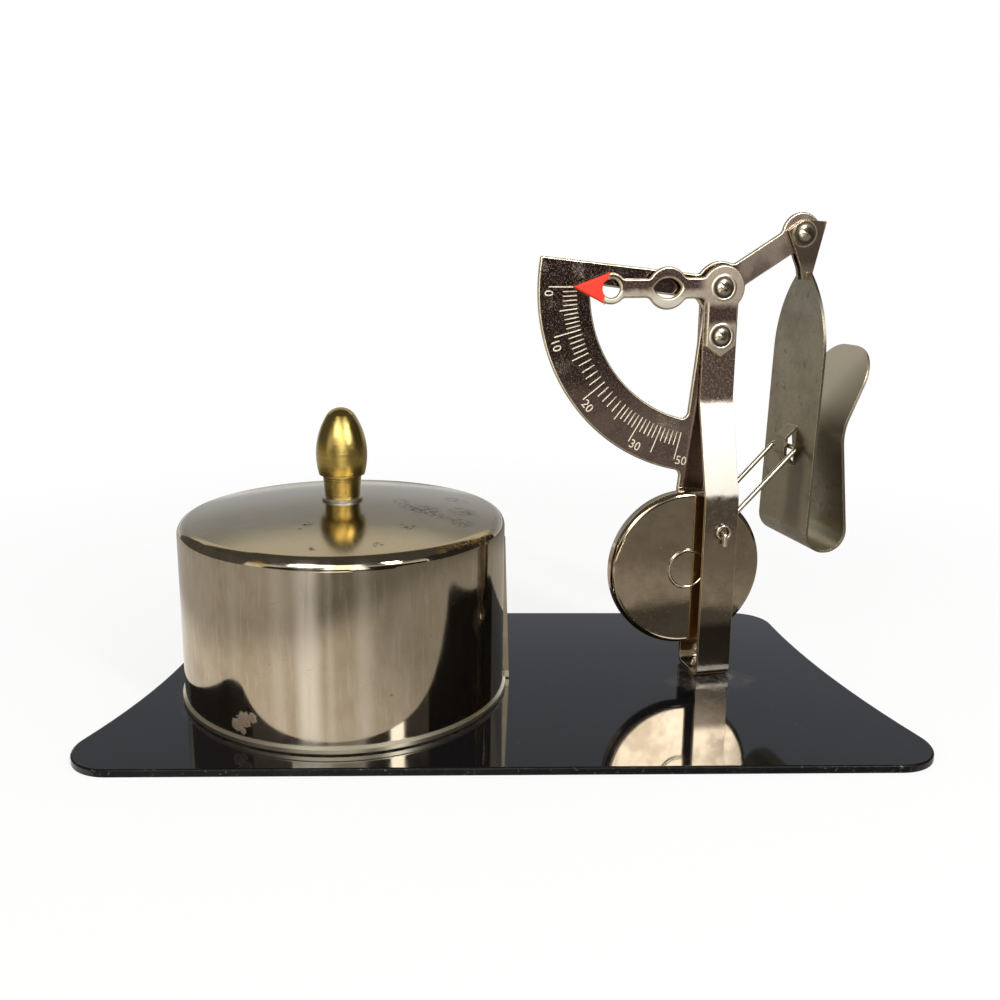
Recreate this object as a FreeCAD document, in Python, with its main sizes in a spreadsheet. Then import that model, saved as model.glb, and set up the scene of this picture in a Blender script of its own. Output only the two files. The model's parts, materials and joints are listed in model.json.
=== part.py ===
import FreeCAD, Part
import math
import os

import Sketcher

# Desk set: letter balance and stamp drum on one lacquered base plate.
# Frame: millimetres, +Z up, origin on the underside of the plate at its middle,
# +X along the plate towards the balance, the user's side at -Y.

os.makedirs("parts", exist_ok=True)
doc = FreeCAD.newDocument("postal_scale")
V = FreeCAD.Vector

SIZES = [
    # base plate, a sheet with concave ends that flare towards the user
    ("plate_depth", 84.4), ("plate_thickness", 1.5), ("plate_front_left", 88.1),
    ("plate_front_right", 86.75), ("plate_back_half", 72.5), ("plate_front_lean", 2.0),
    ("plate_left_radius", 156.0), ("plate_right_radius", 235.0),
    ("plate_front_corner", 9.0), ("plate_back_corner", 8.0), ("plate_edge_round", 0.45),
    # stamp drum
    ("drum_x", -33.5), ("drum_y", -1.2), ("drum_radius", 35.0), ("drum_height", 38.7),
    ("drum_crown", 3.1), ("drum_wall", 0.6), ("drum_shoulder", 2.5), ("bead_out", 0.5),
    ("bead_height", 1.1), ("bead_foot", 0.33), ("bead_tuck", 0.3),
    ("slot_width", 1.5), ("slot_height", 33.0), ("lip_bottom", 1.4), ("lip_top", 0.25),
    ("seat_clearance", 0.4), ("seat_height", 4.5), ("seat_wall", 0.6),
    ("seat_rivet_circle", 20.0), ("seat_rivet_radius", 1.3), ("seat_rivet_head", 2.6),
    ("seat_rivet_head_height", 0.8), ("flat_head_bevel", 0.5),
    # knob
    ("knob_height", 19.3), ("knob_radius", 5.45), ("knob_shoulder", 4.9),
    ("knob_neck", 4.1), ("knob_foot", 3.75), ("knob_belly_height", 9.3),
    ("knob_shoulder_height", 5.0), ("knob_groove", 0.25), ("knob_groove_width", 0.5),
    ("knob_cap_radius", 2.9), ("knob_cap_height", 1.4), ("knob_washer_radius", 4.4),
    ("knob_washer_thickness", 0.5), ("screw_radius", 1.45), ("screw_reach", 7.0),
    ("screw_head", 2.9), ("screw_head_height", 1.9), ("screw_slot", 0.8),
    # balance stand, one strip bent into a narrow U that opens below
    ("stand_x", 47.9), ("stand_y", 5.8), ("stand_yaw", 11.0),
    ("strip_width", 7.7), ("strip_thickness", 0.8), ("front_offset", 5.6),
    ("rear_inner_top", 2.2), ("rear_inner_low", 3.9), ("joggle_low_drop", 45.3),
    ("joggle_high_drop", 24.1), ("joggle_radius", 9.0), ("foot_radius", 1.6),
    ("pivot_height", 86.3), ("rivet_drop", 10.3),
    ("stand_rivet_radius", 1.5), ("stand_rivet_head", 2.7), ("stand_rivet_head_height", 0.9),
    # beam: quadrant, stem and arm in one sheet
    ("beam_thickness", 0.8), ("beam_gap", 0.3), ("beam_hub", 5.6),
    ("quadrant_outer", 40.5), ("quadrant_inner", 29.1), ("quadrant_start", 170.5),
    ("quadrant_end", 262.0), ("spoke_top_z", 2.3), ("spoke_low_z", -3.0),
    ("spoke_outer_x", -29.5), ("spoke_outer_z", 0.9), ("stem_angle", 264.2),
    ("stem_length", 61.7), ("stem_width", 6.3), ("arm_angle", 31.9), ("arm_length", 21.56),
    ("arm_width", 5.3), ("eye_radius", 4.5),
    ("tick_inner", 32.1), ("tick_minor", 35.2), ("tick_medium", 36.1), ("tick_long", 38.2),
    ("tick_width", 0.26), ("tick_depth", 0.12), ("zero_angle", 179.4),
    # counterweight
    ("weight_radius", 17.5), ("weight_thickness", 3.8), ("weight_round", 1.2),
    ("weight_rivet_radius", 1.6), ("weight_boss", 4.4), ("weight_boss_height", 0.25),
    ("weight_rear_head", 2.6), ("weight_rear_height", 0.3),
    # pointer plate
    ("pointer_thickness", 0.8), ("pointer_hub", 4.85), ("pointer_leg_width", 7.1),
    ("pointer_leg_drop", 12.4), ("pointer_tip_drop", 14.9), ("pointer_neck", 4.4),
    ("boss_near_x", -12.6), ("boss_near_radius", 4.5), ("oval_half_length", 3.2),
    ("oval_half_height", 2.1), ("boss_far_x", -25.1), ("boss_far_radius", 3.3),
    ("boss_far_hole", 1.95), ("pointer_far_neck", 3.96), ("arrow_tip_x", -33.6),
    ("arrow_tip_z", 0.4), ("arrow_back_x", -25.9), ("arrow_half", 3.2),
    ("arrow_slant", 0.6), ("notch_round", 1.4),
    # rivets of the balance
    ("rivet_radius", 1.1), ("dome_radius", 2.25), ("dome_height", 1.2),
    ("rear_head_radius", 1.9), ("rear_head_bevel", 0.35), ("rear_head_height", 0.8),
    ("running_gap", 0.06), ("fixed_gap", 0.03),
    # letter clip, laid out from the arm's eye
    ("clip_width", 21.0), ("clip_thickness", 0.6), ("clip_neck_half", 2.4),
    ("clip_neck_out", 1.5), ("clip_neck_drop", 8.2), ("clip_crown_out", 1.4),
    ("clip_crown_drop", 25.4), ("clip_shoulder_drop", 26.4), ("clip_foot_out", 0.2),
    ("clip_foot_drop", 68.6), ("trough_width", 9.8), ("clip_throat_out", 7.0),
    ("clip_throat_drop", 41.9), ("clip_lip_out", 14.3), ("clip_lip_drop", 24.2),
    ("clip_crown_radius", 40.0), ("clip_bend_radius", 4.4), ("clip_throat_radius", 12.0),
    ("clip_lobe_round", 8.5), ("ear_gap", 0.3), ("ear_thickness", 0.6), ("ear_left", 3.6),
    ("ear_right", 5.1), ("ear_rise", 2.9), ("ear_root", 1.9), ("ear_lap", 1.6),
    ("clip_washer_radius", 2.5), ("clip_washer_thickness", 0.4),
    ("bridge_drop", 46.2), ("bridge_width", 4.2), ("bridge_half", 4.4), ("bridge_lap", 0.8),
    ("bridge_flat", 1.65), ("bridge_bend", 1.0), ("bridge_stand", 1.42),
    # wire link
    ("wire_radius", 0.55), ("wire_bend", 1.2), ("link_low_x", 0.5), ("link_low_z", -52.6),
    ("wire_gap", 0.4), ("wire_hole_gap", 0.12), ("wire_tail", 2.8), ("tail_bend", 0.75),
    ("tail_stand_off", 1.2), ("wire_end_in", 1.0),
]

# Dial: first value, last value and step of each span of marks, and the degrees that it covers
DIAL_SPANS = [(0, 10, 1, 15.9), (10, 15, 1, 9.4), (15, 20, 1, 13.1), (20, 25, 1, 12.6),
              (25, 30, 1, 8.8), (30, 50, 2, 17.5)]

sheet = doc.addObject("Spreadsheet::Sheet", "Sizes")
for row, (alias, value) in enumerate(SIZES, start=1):
    sheet.set("A%d" % row, alias.replace("_", " "))
    sheet.set("B%d" % row, str(value))
    sheet.setAlias("B%d" % row, alias)
doc.recompute()


class Dim:
    """A length that knows its number and the sheet expression it comes from."""

    def __init__(self, number, text):
        self.number = float(number)
        self.text = text

    def _join(self, other, sign, number):
        text = other.text if isinstance(other, Dim) else repr(float(other))
        return Dim(number, "(%s %s %s)" % (self.text, sign, text))

    def __add__(self, other):
        return self._join(other, "+", self.number + float(other))

    def __sub__(self, other):
        return self._join(other, "-", self.number - float(other))

    def __mul__(self, other):
        return self._join(other, "*", self.number * float(other))

    def __truediv__(self, other):
        return self._join(other, "/", self.number / float(other))

    def __neg__(self):
        return Dim(-self.number, "(0 - %s)" % self.text)

    def __float__(self):
        return self.number


def size(alias):
    return Dim(getattr(sheet, alias), "Sizes." + alias)


def bind(target, path, value):
    """Tie a property to its sheet expression, or set a plain number."""
    if isinstance(value, Dim):
        target.setExpression(path, value.text)


ZERO = Dim(0.0, "0")
CLEAR = Dim(1.0, "1")  # how far a cut starts or ends outside the metal
BODIES = []


def placed(target, x=ZERO, y=ZERO, z=ZERO, yaw=None):
    """Put a body at a point, turned about the vertical with the stand if asked."""
    target.Placement = FreeCAD.Placement(
        V(float(x), float(y), float(z)),
        FreeCAD.Rotation(V(0, 0, 1), float(yaw) if yaw is not None else 0.0))
    for axis, value in (("x", x), ("y", y), ("z", z)):
        bind(target, "Placement.Base." + axis, value)
    if yaw is not None:
        bind(target, "Placement.Rotation.Angle", yaw)


def new_body(label):
    body = doc.addObject("PartDesign::Body", label)
    body.Label = label
    BODIES.append(body)
    return body


def plane_of(body, role):
    return next(f for f in body.Origin.OriginFeatures if f.Role == role)


def new_sketch(body, role, offset=ZERO):
    sketch = body.newObject("Sketcher::SketchObject", body.Label + "_sketch")
    sketch.AttachmentSupport = [(plane_of(body, role), "")]
    sketch.MapMode = "FlatFace"
    sketch.AttachmentOffset = FreeCAD.Placement(V(0, 0, float(offset)), FreeCAD.Rotation())
    bind(sketch, "AttachmentOffset.Base.z", offset)
    return sketch


def constrain(sketch, constraint, value):
    index = sketch.addConstraint(constraint)
    if isinstance(value, Dim):
        sketch.setExpression("Constraints[%d]" % index, value.text)


def pin_point(sketch, geometry, which, point):
    """Hold one sketch point at its two sheet-driven coordinates."""
    x, y = point
    constrain(sketch, Sketcher.Constraint("DistanceX", -1, 1, geometry, which, float(x)), x)
    constrain(sketch, Sketcher.Constraint("DistanceY", -1, 1, geometry, which, float(y)), y)


def end_at(sketch, geometry, point):
    """Which end of a line or arc lies at a point."""
    first, last = (sketch.getPoint(geometry, which) for which in (1, 2))
    return 1 if (first - point).Length < (last - point).Length else 2


def join(sketch, here, after, point):
    """Hold two neighbours of a loop together at the point that they share."""
    here_end, after_end = end_at(sketch, here, point), end_at(sketch, after, point)
    sketch.addConstraint(Sketcher.Constraint("Coincident", here, here_end, after, after_end))
    return here_end


def draw_loop(sketch, points, arcs=None):
    """Closed loop of lines; arcs maps a side's number to (radius, bulge side)."""
    arcs = arcs or {}
    count = len(points)
    first = sketch.GeometryCount
    for i in range(count):
        a = V(float(points[i][0]), float(points[i][1]), 0)
        b = V(float(points[(i + 1) % count][0]), float(points[(i + 1) % count][1]), 0)
        if i in arcs:
            radius, side = float(arcs[i][0]), arcs[i][1]
            chord = b - a
            normal = V(-chord.y, chord.x, 0).normalize() * side
            half = chord.Length / 2
            centre = (a + b) * 0.5 - normal * math.sqrt(radius * radius - half * half)
            sketch.addGeometry(Part.Arc(a, centre + normal * radius, b))
        else:
            sketch.addGeometry(Part.LineSegment(a, b))
    for i in range(count):
        end = V(float(points[(i + 1) % count][0]), float(points[(i + 1) % count][1]), 0)
        end_id = join(sketch, first + i, first + (i + 1) % count, end)
        pin_point(sketch, first + i, end_id, points[(i + 1) % count])
        if i in arcs:
            radius = arcs[i][0]
            constrain(sketch, Sketcher.Constraint("Radius", first + i, float(radius)), radius)


def draw_circle(sketch, centre, radius):
    index = sketch.addGeometry(Part.Circle(V(float(centre[0]), float(centre[1]), 0),
                                           V(0, 0, 1), float(radius)))
    pin_point(sketch, index, 3, centre)
    constrain(sketch, Sketcher.Constraint("Radius", index, float(radius)), radius)


def extrude(body, sketch, length, kind="Pad", midplane=False, reverse=False):
    """Pad or pocket a sketch, and make sure that it changed the solid."""
    if sketch.solve() != 0:
        raise RuntimeError("sketch of %s can't be solved" % body.Label)
    doc.recompute()
    before = body.Shape.Volume if body.Tip is not None else 0.0
    feature = body.newObject("PartDesign::" + kind, body.Label + "_" + kind.lower())
    feature.Profile = sketch
    feature.Length = float(length)
    bind(feature, "Length", length)
    feature.Midplane = midplane
    feature.Reversed = reverse
    doc.recompute()
    change = body.Shape.Volume - before
    if (change >= 0) != (kind == "Pad") or abs(change) < 1e-6:
        raise RuntimeError("%s of %s changed the volume by %.4f" % (kind, body.Label, change))
    return feature


def cut_circle(body, role, centre, radius, offset, depth):
    """Round hole from one plane through a sheet lying on its far side."""
    sketch = new_sketch(body, role, offset)
    draw_circle(sketch, centre, radius)
    extrude(body, sketch, depth, "Pocket")


def edges_where(shape, test):
    return ["Edge%d" % (i + 1) for i, edge in enumerate(shape.Edges) if test(edge)]


def fillet(body, radius, test):
    doc.recompute()
    base = body.Tip
    names = edges_where(base.Shape, test)
    if not names:
        raise RuntimeError("no edge to round on " + body.Label)
    feature = body.newObject("PartDesign::Fillet", body.Label + "_fillet")
    feature.Base = (base, names)
    feature.Radius = float(radius)
    bind(feature, "Radius", radius)
    doc.recompute()


def upright(edge):
    box = edge.BoundBox
    return box.XLength < 1e-3 and box.YLength < 1e-3 and box.ZLength > 1e-3


def across(edge):
    box = edge.BoundBox
    return box.XLength < 1e-3 and box.ZLength < 1e-3 and box.YLength > 1e-3


def turned(label, role, points, arcs=None):
    """Solid of revolution about the sketch's own vertical axis."""
    body = new_body(label)
    sketch = new_sketch(body, role)
    draw_loop(sketch, points, arcs)
    feature = body.newObject("PartDesign::Revolution", label + "_turned")
    feature.Profile = sketch
    feature.ReferenceAxis = (sketch, ["V_Axis"])
    feature.Angle = 360.0
    doc.recompute()
    return body


def strip_outline(line, radii, thickness):
    """Edges round a bent strip: a centre line of points, and a bend radius at each inner one."""
    half = thickness / 2.0
    sides = []
    for side in (half, -half):
        edges = []
        start = None
        for i, point in enumerate(line):
            if i == 0:
                ahead = (line[1] - point).normalize()
                start = point + V(-ahead.y, ahead.x, 0) * side
                continue
            back = (point - line[i - 1]).normalize()
            back_side = V(-back.y, back.x, 0) * side
            if i == len(line) - 1:
                edges.append(("line", start, point + back_side))
                continue
            ahead = (line[i + 1] - point).normalize()
            ahead_side = V(-ahead.y, ahead.x, 0) * side
            turn = math.atan2(back.x * ahead.y - back.y * ahead.x, back.dot(ahead))
            reach = radii[i - 1] * math.tan(abs(turn) / 2)
            into, out = point - back * reach, point + ahead * reach
            sign = math.copysign(1.0, turn)
            centre = into + V(-back.y, back.x, 0) * (radii[i - 1] * sign)
            middle = centre + (point - centre).normalize() * (radii[i - 1] - side * sign)
            edges.append(("line", start, into + back_side))
            edges.append(("arc", into + back_side, middle, out + ahead_side))
            start = out + ahead_side
        sides.append(edges)
    left, right = sides
    loop = list(left)
    loop.append(("line", left[-1][-1], right[-1][-1]))
    loop.extend((kind, *reversed(ends)) for kind, *ends in reversed(right))
    loop.append(("line", right[0][1], left[0][1]))
    return loop


def draw_edges(sketch, edges):
    """Lay computed lines and arcs into a sketch, joined end to end."""
    first = sketch.GeometryCount
    for kind, *ends in edges:
        sketch.addGeometry(Part.Arc(*ends) if kind == "arc" else Part.LineSegment(*ends))
    for i in range(len(edges)):
        join(sketch, first + i, first + (i + 1) % len(edges), edges[i][-1])
    for i in range(len(edges)):
        sketch.addConstraint(Sketcher.Constraint("Block", first + i))


# Named sizes used by more than one piece
plate_top = size("plate_thickness")
pivot_z = plate_top + size("pivot_height")
stand_x, stand_y, stand_yaw = size("stand_x"), size("stand_y"), size("stand_yaw")
drum_x, drum_y = size("drum_x"), size("drum_y")
strip = size("strip_thickness")
half_strip = size("strip_width") / 2
rivet_hole = size("rivet_radius") + size("fixed_gap")
rivet_bearing = size("rivet_radius") + size("running_gap")

# Depths along the balance's facing direction, 0 on the upper strut's front face
beam_front = -(strip + size("beam_gap"))
beam_back = beam_front - size("beam_thickness")
weight_front = beam_front + size("weight_thickness")
stand_back_top = -(size("rear_inner_top") + strip)
stand_back_low = -(size("rear_inner_low") + strip)
pointer_front = size("pointer_thickness")
front_wire = size("front_offset") - strip - size("wire_gap") - size("wire_radius")
rear_wire = stand_back_low - size("wire_gap") - size("wire_radius")


def polar(radius, angle):
    """Point about the pivot; the angle is a sheet size in degrees."""
    a = math.radians(float(angle))
    text = "(%s * %s(%s))"
    return (Dim(float(radius) * math.cos(a), text % (radius.text, "cos", angle.text)),
            Dim(float(radius) * math.sin(a), text % (radius.text, "sin", angle.text)))


def beside(point, angle, shift):
    """Move a point square to a direction."""
    a = math.radians(float(angle))
    return (point[0] - Dim(float(shift) * math.sin(a), "(%s * sin(%s))" % (shift.text, angle.text)),
            point[1] + Dim(float(shift) * math.cos(a), "(%s * cos(%s))" % (shift.text, angle.text)))


def arc_radius(inward, along):
    """Radius of an arc that leaves a line at a tangent and has gone so far in after so much."""
    text = "(((%s)^2 + (%s)^2) / (2 * (%s)))" % (inward.text, along.text, inward.text)
    return Dim((float(inward) ** 2 + float(along) ** 2) / (2 * float(inward)), text)


weight_point = polar(size("stem_length"), size("stem_angle"))
eye_point = polar(size("arm_length"), size("arm_angle"))


def from_eye(out, drop):
    """Point laid out from the arm's eye, outwards and down."""
    return eye_point[0] + out, eye_point[1] - drop


clip_neck = from_eye(size("clip_neck_out"), size("clip_neck_drop"))
clip_crown = from_eye(size("clip_crown_out"), size("clip_crown_drop"))
clip_foot = from_eye(size("clip_foot_out"), size("clip_foot_drop"))
bridge_z = eye_point[1] - size("bridge_drop")
leaf_lean = (clip_crown[0] - clip_foot[0]) / (clip_crown[1] - clip_foot[1])
bridge_leaf_x = clip_foot[0] + leaf_lean * (bridge_z - clip_foot[1])
link_low = (size("link_low_x"), size("link_low_z"))
link_high = (bridge_leaf_x - size("bridge_stand"), bridge_z)


# Base plate
def build_base_plate():
    body = new_body("base_plate")
    sketch = new_sketch(body, "XY_Plane")
    half = size("plate_depth") / 2
    left, right, back = (size("plate_" + name) for name in ("front_left", "front_right", "back_half"))
    draw_loop(sketch, [(-left, -half), (right, size("plate_front_lean") - half), (back, half),
                       (-back, half)],
              {1: (size("plate_right_radius"), 1), 3: (size("plate_left_radius"), 1)})
    extrude(body, sketch, plate_top)
    fillet(body, size("plate_front_corner"), lambda e: upright(e) and e.BoundBox.Center.y < 0)
    fillet(body, size("plate_back_corner"), lambda e: upright(e) and e.BoundBox.Center.y > 0)
    top = float(plate_top)
    fillet(body, size("plate_edge_round"), lambda e: e.BoundBox.ZMin > top - 1e-3)
    sketch = new_sketch(body, "XY_Plane")
    for centre in seat_rivet_points():
        draw_circle(sketch, centre, size("seat_rivet_radius") + size("fixed_gap"))
    draw_circle(sketch, (stand_x, stand_y), size("stand_rivet_radius") + size("fixed_gap"))
    extrude(body, sketch, plate_top, "Pocket", reverse=True)


def seat_rivet_points():
    """Three rivets of the drum seat, evenly round its middle."""
    points = []
    for k in range(3):
        a = math.radians(90 + 120 * k)
        circle = size("seat_rivet_circle")
        points.append((drum_x + circle * math.cos(a), drum_y + circle * math.sin(a)))
    return points


# Drum seat: shallow pan riveted to the plate, which the cover drops over
def build_drum_seat():
    outer = size("drum_radius") - size("drum_wall") - size("seat_clearance")
    wall = size("seat_wall")
    body = turned("drum_seat", "XZ_Plane", [
        (ZERO, ZERO), (outer, ZERO), (outer, size("seat_height")),
        (outer - wall, size("seat_height")), (outer - wall, wall), (ZERO, wall)])
    sketch = new_sketch(body, "XY_Plane")
    for x, y in seat_rivet_points():
        draw_circle(sketch, (x - drum_x, y - drum_y),
                    size("seat_rivet_radius") + size("fixed_gap"))
    extrude(body, sketch, wall, "Pocket", reverse=True)
    placed(body, drum_x, drum_y, plate_top)


def build_floor_rivet(label, x, y, radius, head, head_height, grip, lift=ZERO):
    """Rivet through the plate: flush below, low dome above what it holds."""
    top = plate_top + grip + lift
    body = turned(label, "XZ_Plane", [
        (ZERO, ZERO), (radius, ZERO), (radius, top), (head, top),
        (head - size("flat_head_bevel"), top + head_height), (ZERO, top + head_height)])
    placed(body, x, y, ZERO)


# Lid of the drum: a shallow dome that meets the round shoulder at a tangent
dome_reach = size("drum_radius") - size("drum_shoulder")
dome_rise = size("drum_crown") + size("drum_shoulder")
dome_radius = Dim(
    (float(dome_reach) ** 2 + float(dome_rise) ** 2 - float(size("drum_shoulder")) ** 2)
    / (2 * float(size("drum_crown"))),
    "(((%s)^2 + (%s)^2 - Sizes.drum_shoulder^2) / (2 * Sizes.drum_crown))"
    % (dome_reach.text, dome_rise.text))
dome_centre = size("drum_height") + size("drum_crown") - dome_radius


def dome_level(away, inside=ZERO):
    """Height of the lid so far from its middle, on its outer face or so far inside it."""
    radius = dome_radius - inside
    return dome_centre + Dim(math.sqrt(float(radius) ** 2 - float(away) ** 2),
                             "sqrt((%s)^2 - (%s)^2)" % (radius.text, away.text))


def dome_rim(inside):
    """Point where the dome runs into the shoulder."""
    share = Dim(float(dome_radius - inside) / float(dome_radius - size("drum_shoulder")),
                "((%s) / (%s))" % ((dome_radius - inside).text,
                                   (dome_radius - size("drum_shoulder")).text))
    level = size("drum_height") - size("drum_shoulder") - dome_centre
    return times(dome_reach, share), dome_centre + times(level, share)


def times(first, second):
    return Dim(float(first) * float(second), "((%s) * (%s))" % (first.text, second.text))


# Drum cover: drawn cup with a domed lid, a beaded rim, a slit for the stamps and a flared lip
def build_drum_cover():
    outer, wall = size("drum_radius"), size("drum_wall")
    height, shoulder = size("drum_height"), size("drum_shoulder")
    lid, lid_inside = dome_rim(ZERO), dome_rim(wall)
    bead, bead_top = outer + size("bead_out"), size("bead_height")
    bead_foot = size("bead_foot")
    hole = size("screw_radius") + size("fixed_gap")
    body = turned("drum_cover", "XZ_Plane", [
        (hole, dome_level(hole)), lid, (outer, height - shoulder),
        (outer, bead_top + size("bead_out")), (bead, bead_top), (bead, bead_foot),
        (bead - size("bead_tuck"), ZERO), (outer - wall, ZERO), (outer - wall, height - shoulder),
        lid_inside, (hole, dome_level(hole, wall))],
        {0: (dome_radius, 1), 1: (shoulder, 1), 8: (shoulder - wall, -1), 9: (dome_radius - wall, -1)})
    sketch = new_sketch(body, "YZ_Plane", outer - shoulder)
    half = size("slot_width") / 2
    draw_loop(sketch, [(-half, -CLEAR), (half, -CLEAR), (half, size("slot_height")),
                       (-half, size("slot_height"))])
    extrude(body, sketch, shoulder + size("bead_out") + CLEAR, "Pocket", reverse=True)
    sketch = new_sketch(body, "XZ_Plane", -(half + wall))
    draw_loop(sketch, [(outer - wall, bead_foot), (outer + size("lip_bottom"), bead_foot),
                       (outer + size("lip_top"), size("slot_height")),
                       (outer - wall, size("slot_height"))])
    extrude(body, sketch, wall)
    placed(body, drum_x, drum_y, plate_top)


# Knob: turned brass acorn on a thin washer, held by a screw from inside the cover
def build_knob():
    cover_top = plate_top + dome_level(size("screw_radius") + size("fixed_gap"))
    washer = size("knob_washer_thickness")
    body = turned("knob_washer", "XZ_Plane", [
        (size("screw_radius") + size("fixed_gap"), ZERO), (size("knob_washer_radius"), ZERO),
        (size("knob_washer_radius"), washer), (size("screw_radius") + size("fixed_gap"), washer)])
    placed(body, drum_x, drum_y, cover_top)

    full, belly = size("knob_height"), size("knob_belly_height")
    shoulder_z = size("knob_shoulder_height")
    bore = size("screw_radius") + size("fixed_gap")
    bore_depth = size("screw_reach") - size("drum_wall") - washer + CLEAR / 2
    widest, shoulder = size("knob_radius"), size("knob_shoulder")
    neck, groove = size("knob_neck"), size("knob_groove")
    groove_z = shoulder_z - size("knob_groove_width")
    cap, cap_height = size("knob_cap_radius"), size("knob_cap_height")
    body = turned("drum_knob", "XZ_Plane", [
        (bore, ZERO), (size("knob_foot"), ZERO), (neck, groove_z), (neck - groove, groove_z),
        (neck - groove, shoulder_z), (shoulder, shoulder_z), (widest, belly),
        (cap, full - cap_height), (ZERO, full), (ZERO, bore_depth), (bore, bore_depth)],
        {5: (arc_radius(widest - shoulder, belly - shoulder_z), -1),
         6: (arc_radius(widest - cap, full - cap_height - belly), -1),
         7: (arc_radius(cap_height, cap), -1)})
    placed(body, drum_x, drum_y, cover_top + washer)

    head, head_height = size("screw_head"), size("screw_head_height")
    bevel = size("flat_head_bevel")
    body = turned("knob_screw", "XZ_Plane", [
        (ZERO, -head_height), (head - bevel, -head_height), (head, bevel - head_height),
        (head, ZERO), (size("screw_radius"), ZERO), (size("screw_radius"), size("screw_reach")),
        (ZERO, size("screw_reach"))])
    sketch = new_sketch(body, "XY_Plane", -head_height)
    slot = size("screw_slot") / 2
    draw_loop(sketch, [(-head - CLEAR, -slot), (head + CLEAR, -slot), (head + CLEAR, slot),
                       (-head - CLEAR, slot)])
    extrude(body, sketch, size("screw_slot"), "Pocket", reverse=True)
    placed(body, drum_x, drum_y, plate_top + dome_level(size("screw_head"), size("drum_wall")))


# Stand: the front strut stands off below to clear the counterweight
def build_stand():
    body = new_body("balance_stand")
    half = float(strip) / 2
    top = float(pivot_z + half_strip)
    low, high = (float(pivot_z - size("joggle_%s_drop" % end)) for end in ("low", "high"))
    front_low = -float(size("front_offset")) + half
    rear_low = float(size("rear_inner_low")) + half
    rear_top = float(size("rear_inner_top")) + half
    floor = float(plate_top) + half
    line = [V(half, top, 0), V(half, high, 0), V(front_low, low, 0), V(front_low, floor, 0),
            V(rear_low, floor, 0), V(rear_low, low, 0), V(rear_top, high, 0), V(rear_top, top, 0)]
    bend, foot = float(size("joggle_radius")), float(size("foot_radius"))
    sketch = new_sketch(body, "YZ_Plane")
    draw_edges(sketch, strip_outline(line, [bend, bend, foot, foot, bend, bend], float(strip)))
    extrude(body, sketch, size("strip_width"), midplane=True)
    fillet(body, half_strip - CLEAR / 20, lambda e: across(e) and e.BoundBox.ZMin > top - 0.5)
    reach = size("front_offset") + CLEAR
    depth = reach + CLEAR - stand_back_low
    cut_circle(body, "XZ_Plane", (ZERO, pivot_z), rivet_hole, reach, depth)
    cut_circle(body, "XZ_Plane", (ZERO, pivot_z - size("rivet_drop")), rivet_hole, reach,
               reach + strip + CLEAR / 5)
    cut_circle(body, "XZ_Plane", (link_low[0], pivot_z + link_low[1]),
               size("wire_radius") + size("wire_hole_gap"), reach, depth)
    sketch = new_sketch(body, "XY_Plane", plate_top)
    draw_circle(sketch, (ZERO, ZERO), size("stand_rivet_radius") + size("running_gap"))
    extrude(body, sketch, strip, "Pocket", reverse=True)
    placed(body, stand_x, stand_y, ZERO, stand_yaw)


# Pointer plate: hub and leg riveted on the front strut, arm out to the arrowhead
def build_pointer():
    body = new_body("pointer_plate")
    thickness = size("pointer_thickness")

    def sheet_pad(draw):
        sketch = new_sketch(body, "XZ_Plane")
        draw(sketch)
        extrude(body, sketch, thickness)

    leg, drop = size("pointer_leg_width") / 2, -size("pointer_leg_drop")
    neck, far_neck = size("pointer_neck") / 2, size("pointer_far_neck") / 2
    near, far = size("boss_near_x"), size("boss_far_x")
    tip, back = size("arrow_tip_x"), size("arrow_back_x")
    sheet_pad(lambda s: draw_circle(s, (ZERO, ZERO), size("pointer_hub")))
    sheet_pad(lambda s: draw_loop(s, [(leg, ZERO), (leg, drop), (ZERO, -size("pointer_tip_drop")),
                                      (-leg, drop), (-leg, ZERO)]))
    sheet_pad(lambda s: draw_loop(s, [(ZERO, neck), (near, neck), (near, -neck), (ZERO, -neck)]))
    sheet_pad(lambda s: draw_circle(s, (near, ZERO), size("boss_near_radius")))
    sheet_pad(lambda s: draw_loop(s, [(near, far_neck), (far, far_neck), (far, -far_neck),
                                      (near, -far_neck)]))
    sheet_pad(lambda s: draw_circle(s, (far, ZERO), size("boss_far_radius")))
    fillet(body, size("notch_round"), lambda e: across(e) and inner_corner(e, body))
    half = size("arrow_half")
    sheet_pad(lambda s: draw_loop(s, [(tip, size("arrow_tip_z")), (back, half),
                                      (far - size("boss_far_hole"), ZERO),
                                      (back - size("arrow_slant"), -half)]))
    sketch = new_sketch(body, "XZ_Plane")
    draw_circle(sketch, (ZERO, ZERO), rivet_hole)
    draw_circle(sketch, (ZERO, -size("rivet_drop")), rivet_hole)
    draw_circle(sketch, (far, ZERO), size("boss_far_hole"))
    oval, height = size("oval_half_length"), size("oval_half_height")
    radius = oval * oval / (height * 2) + height / 2
    draw_loop(sketch, [(near - oval, ZERO), (near + oval, ZERO)], {0: (radius, 1), 1: (radius, 1)})
    extrude(body, sketch, thickness, "Pocket", reverse=True)
    placed(body, stand_x, stand_y, pivot_z, stand_yaw)


def inner_corner(edge, body):
    """True where two walls of a sheet meet in a notch that a punch would leave round."""
    faces = body.Tip.Shape.ancestorsOfType(edge, Part.Face)
    if len(faces) != 2:
        return False
    middle = edge.BoundBox.Center
    probe = V(0, 0, 0)
    for face in faces:
        u, v = face.Surface.parameter(middle)
        probe = probe + face.normalAt(u, v)
    if probe.Length < 0.3 or probe.Length > 1.95:
        return False
    return body.Tip.Shape.isInside(middle + probe.normalize() * -0.02, 1e-4, True) and \
        not body.Tip.Shape.isInside(middle + probe.normalize() * 0.02, 1e-4, True) and \
        notch(middle, body)


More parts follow.
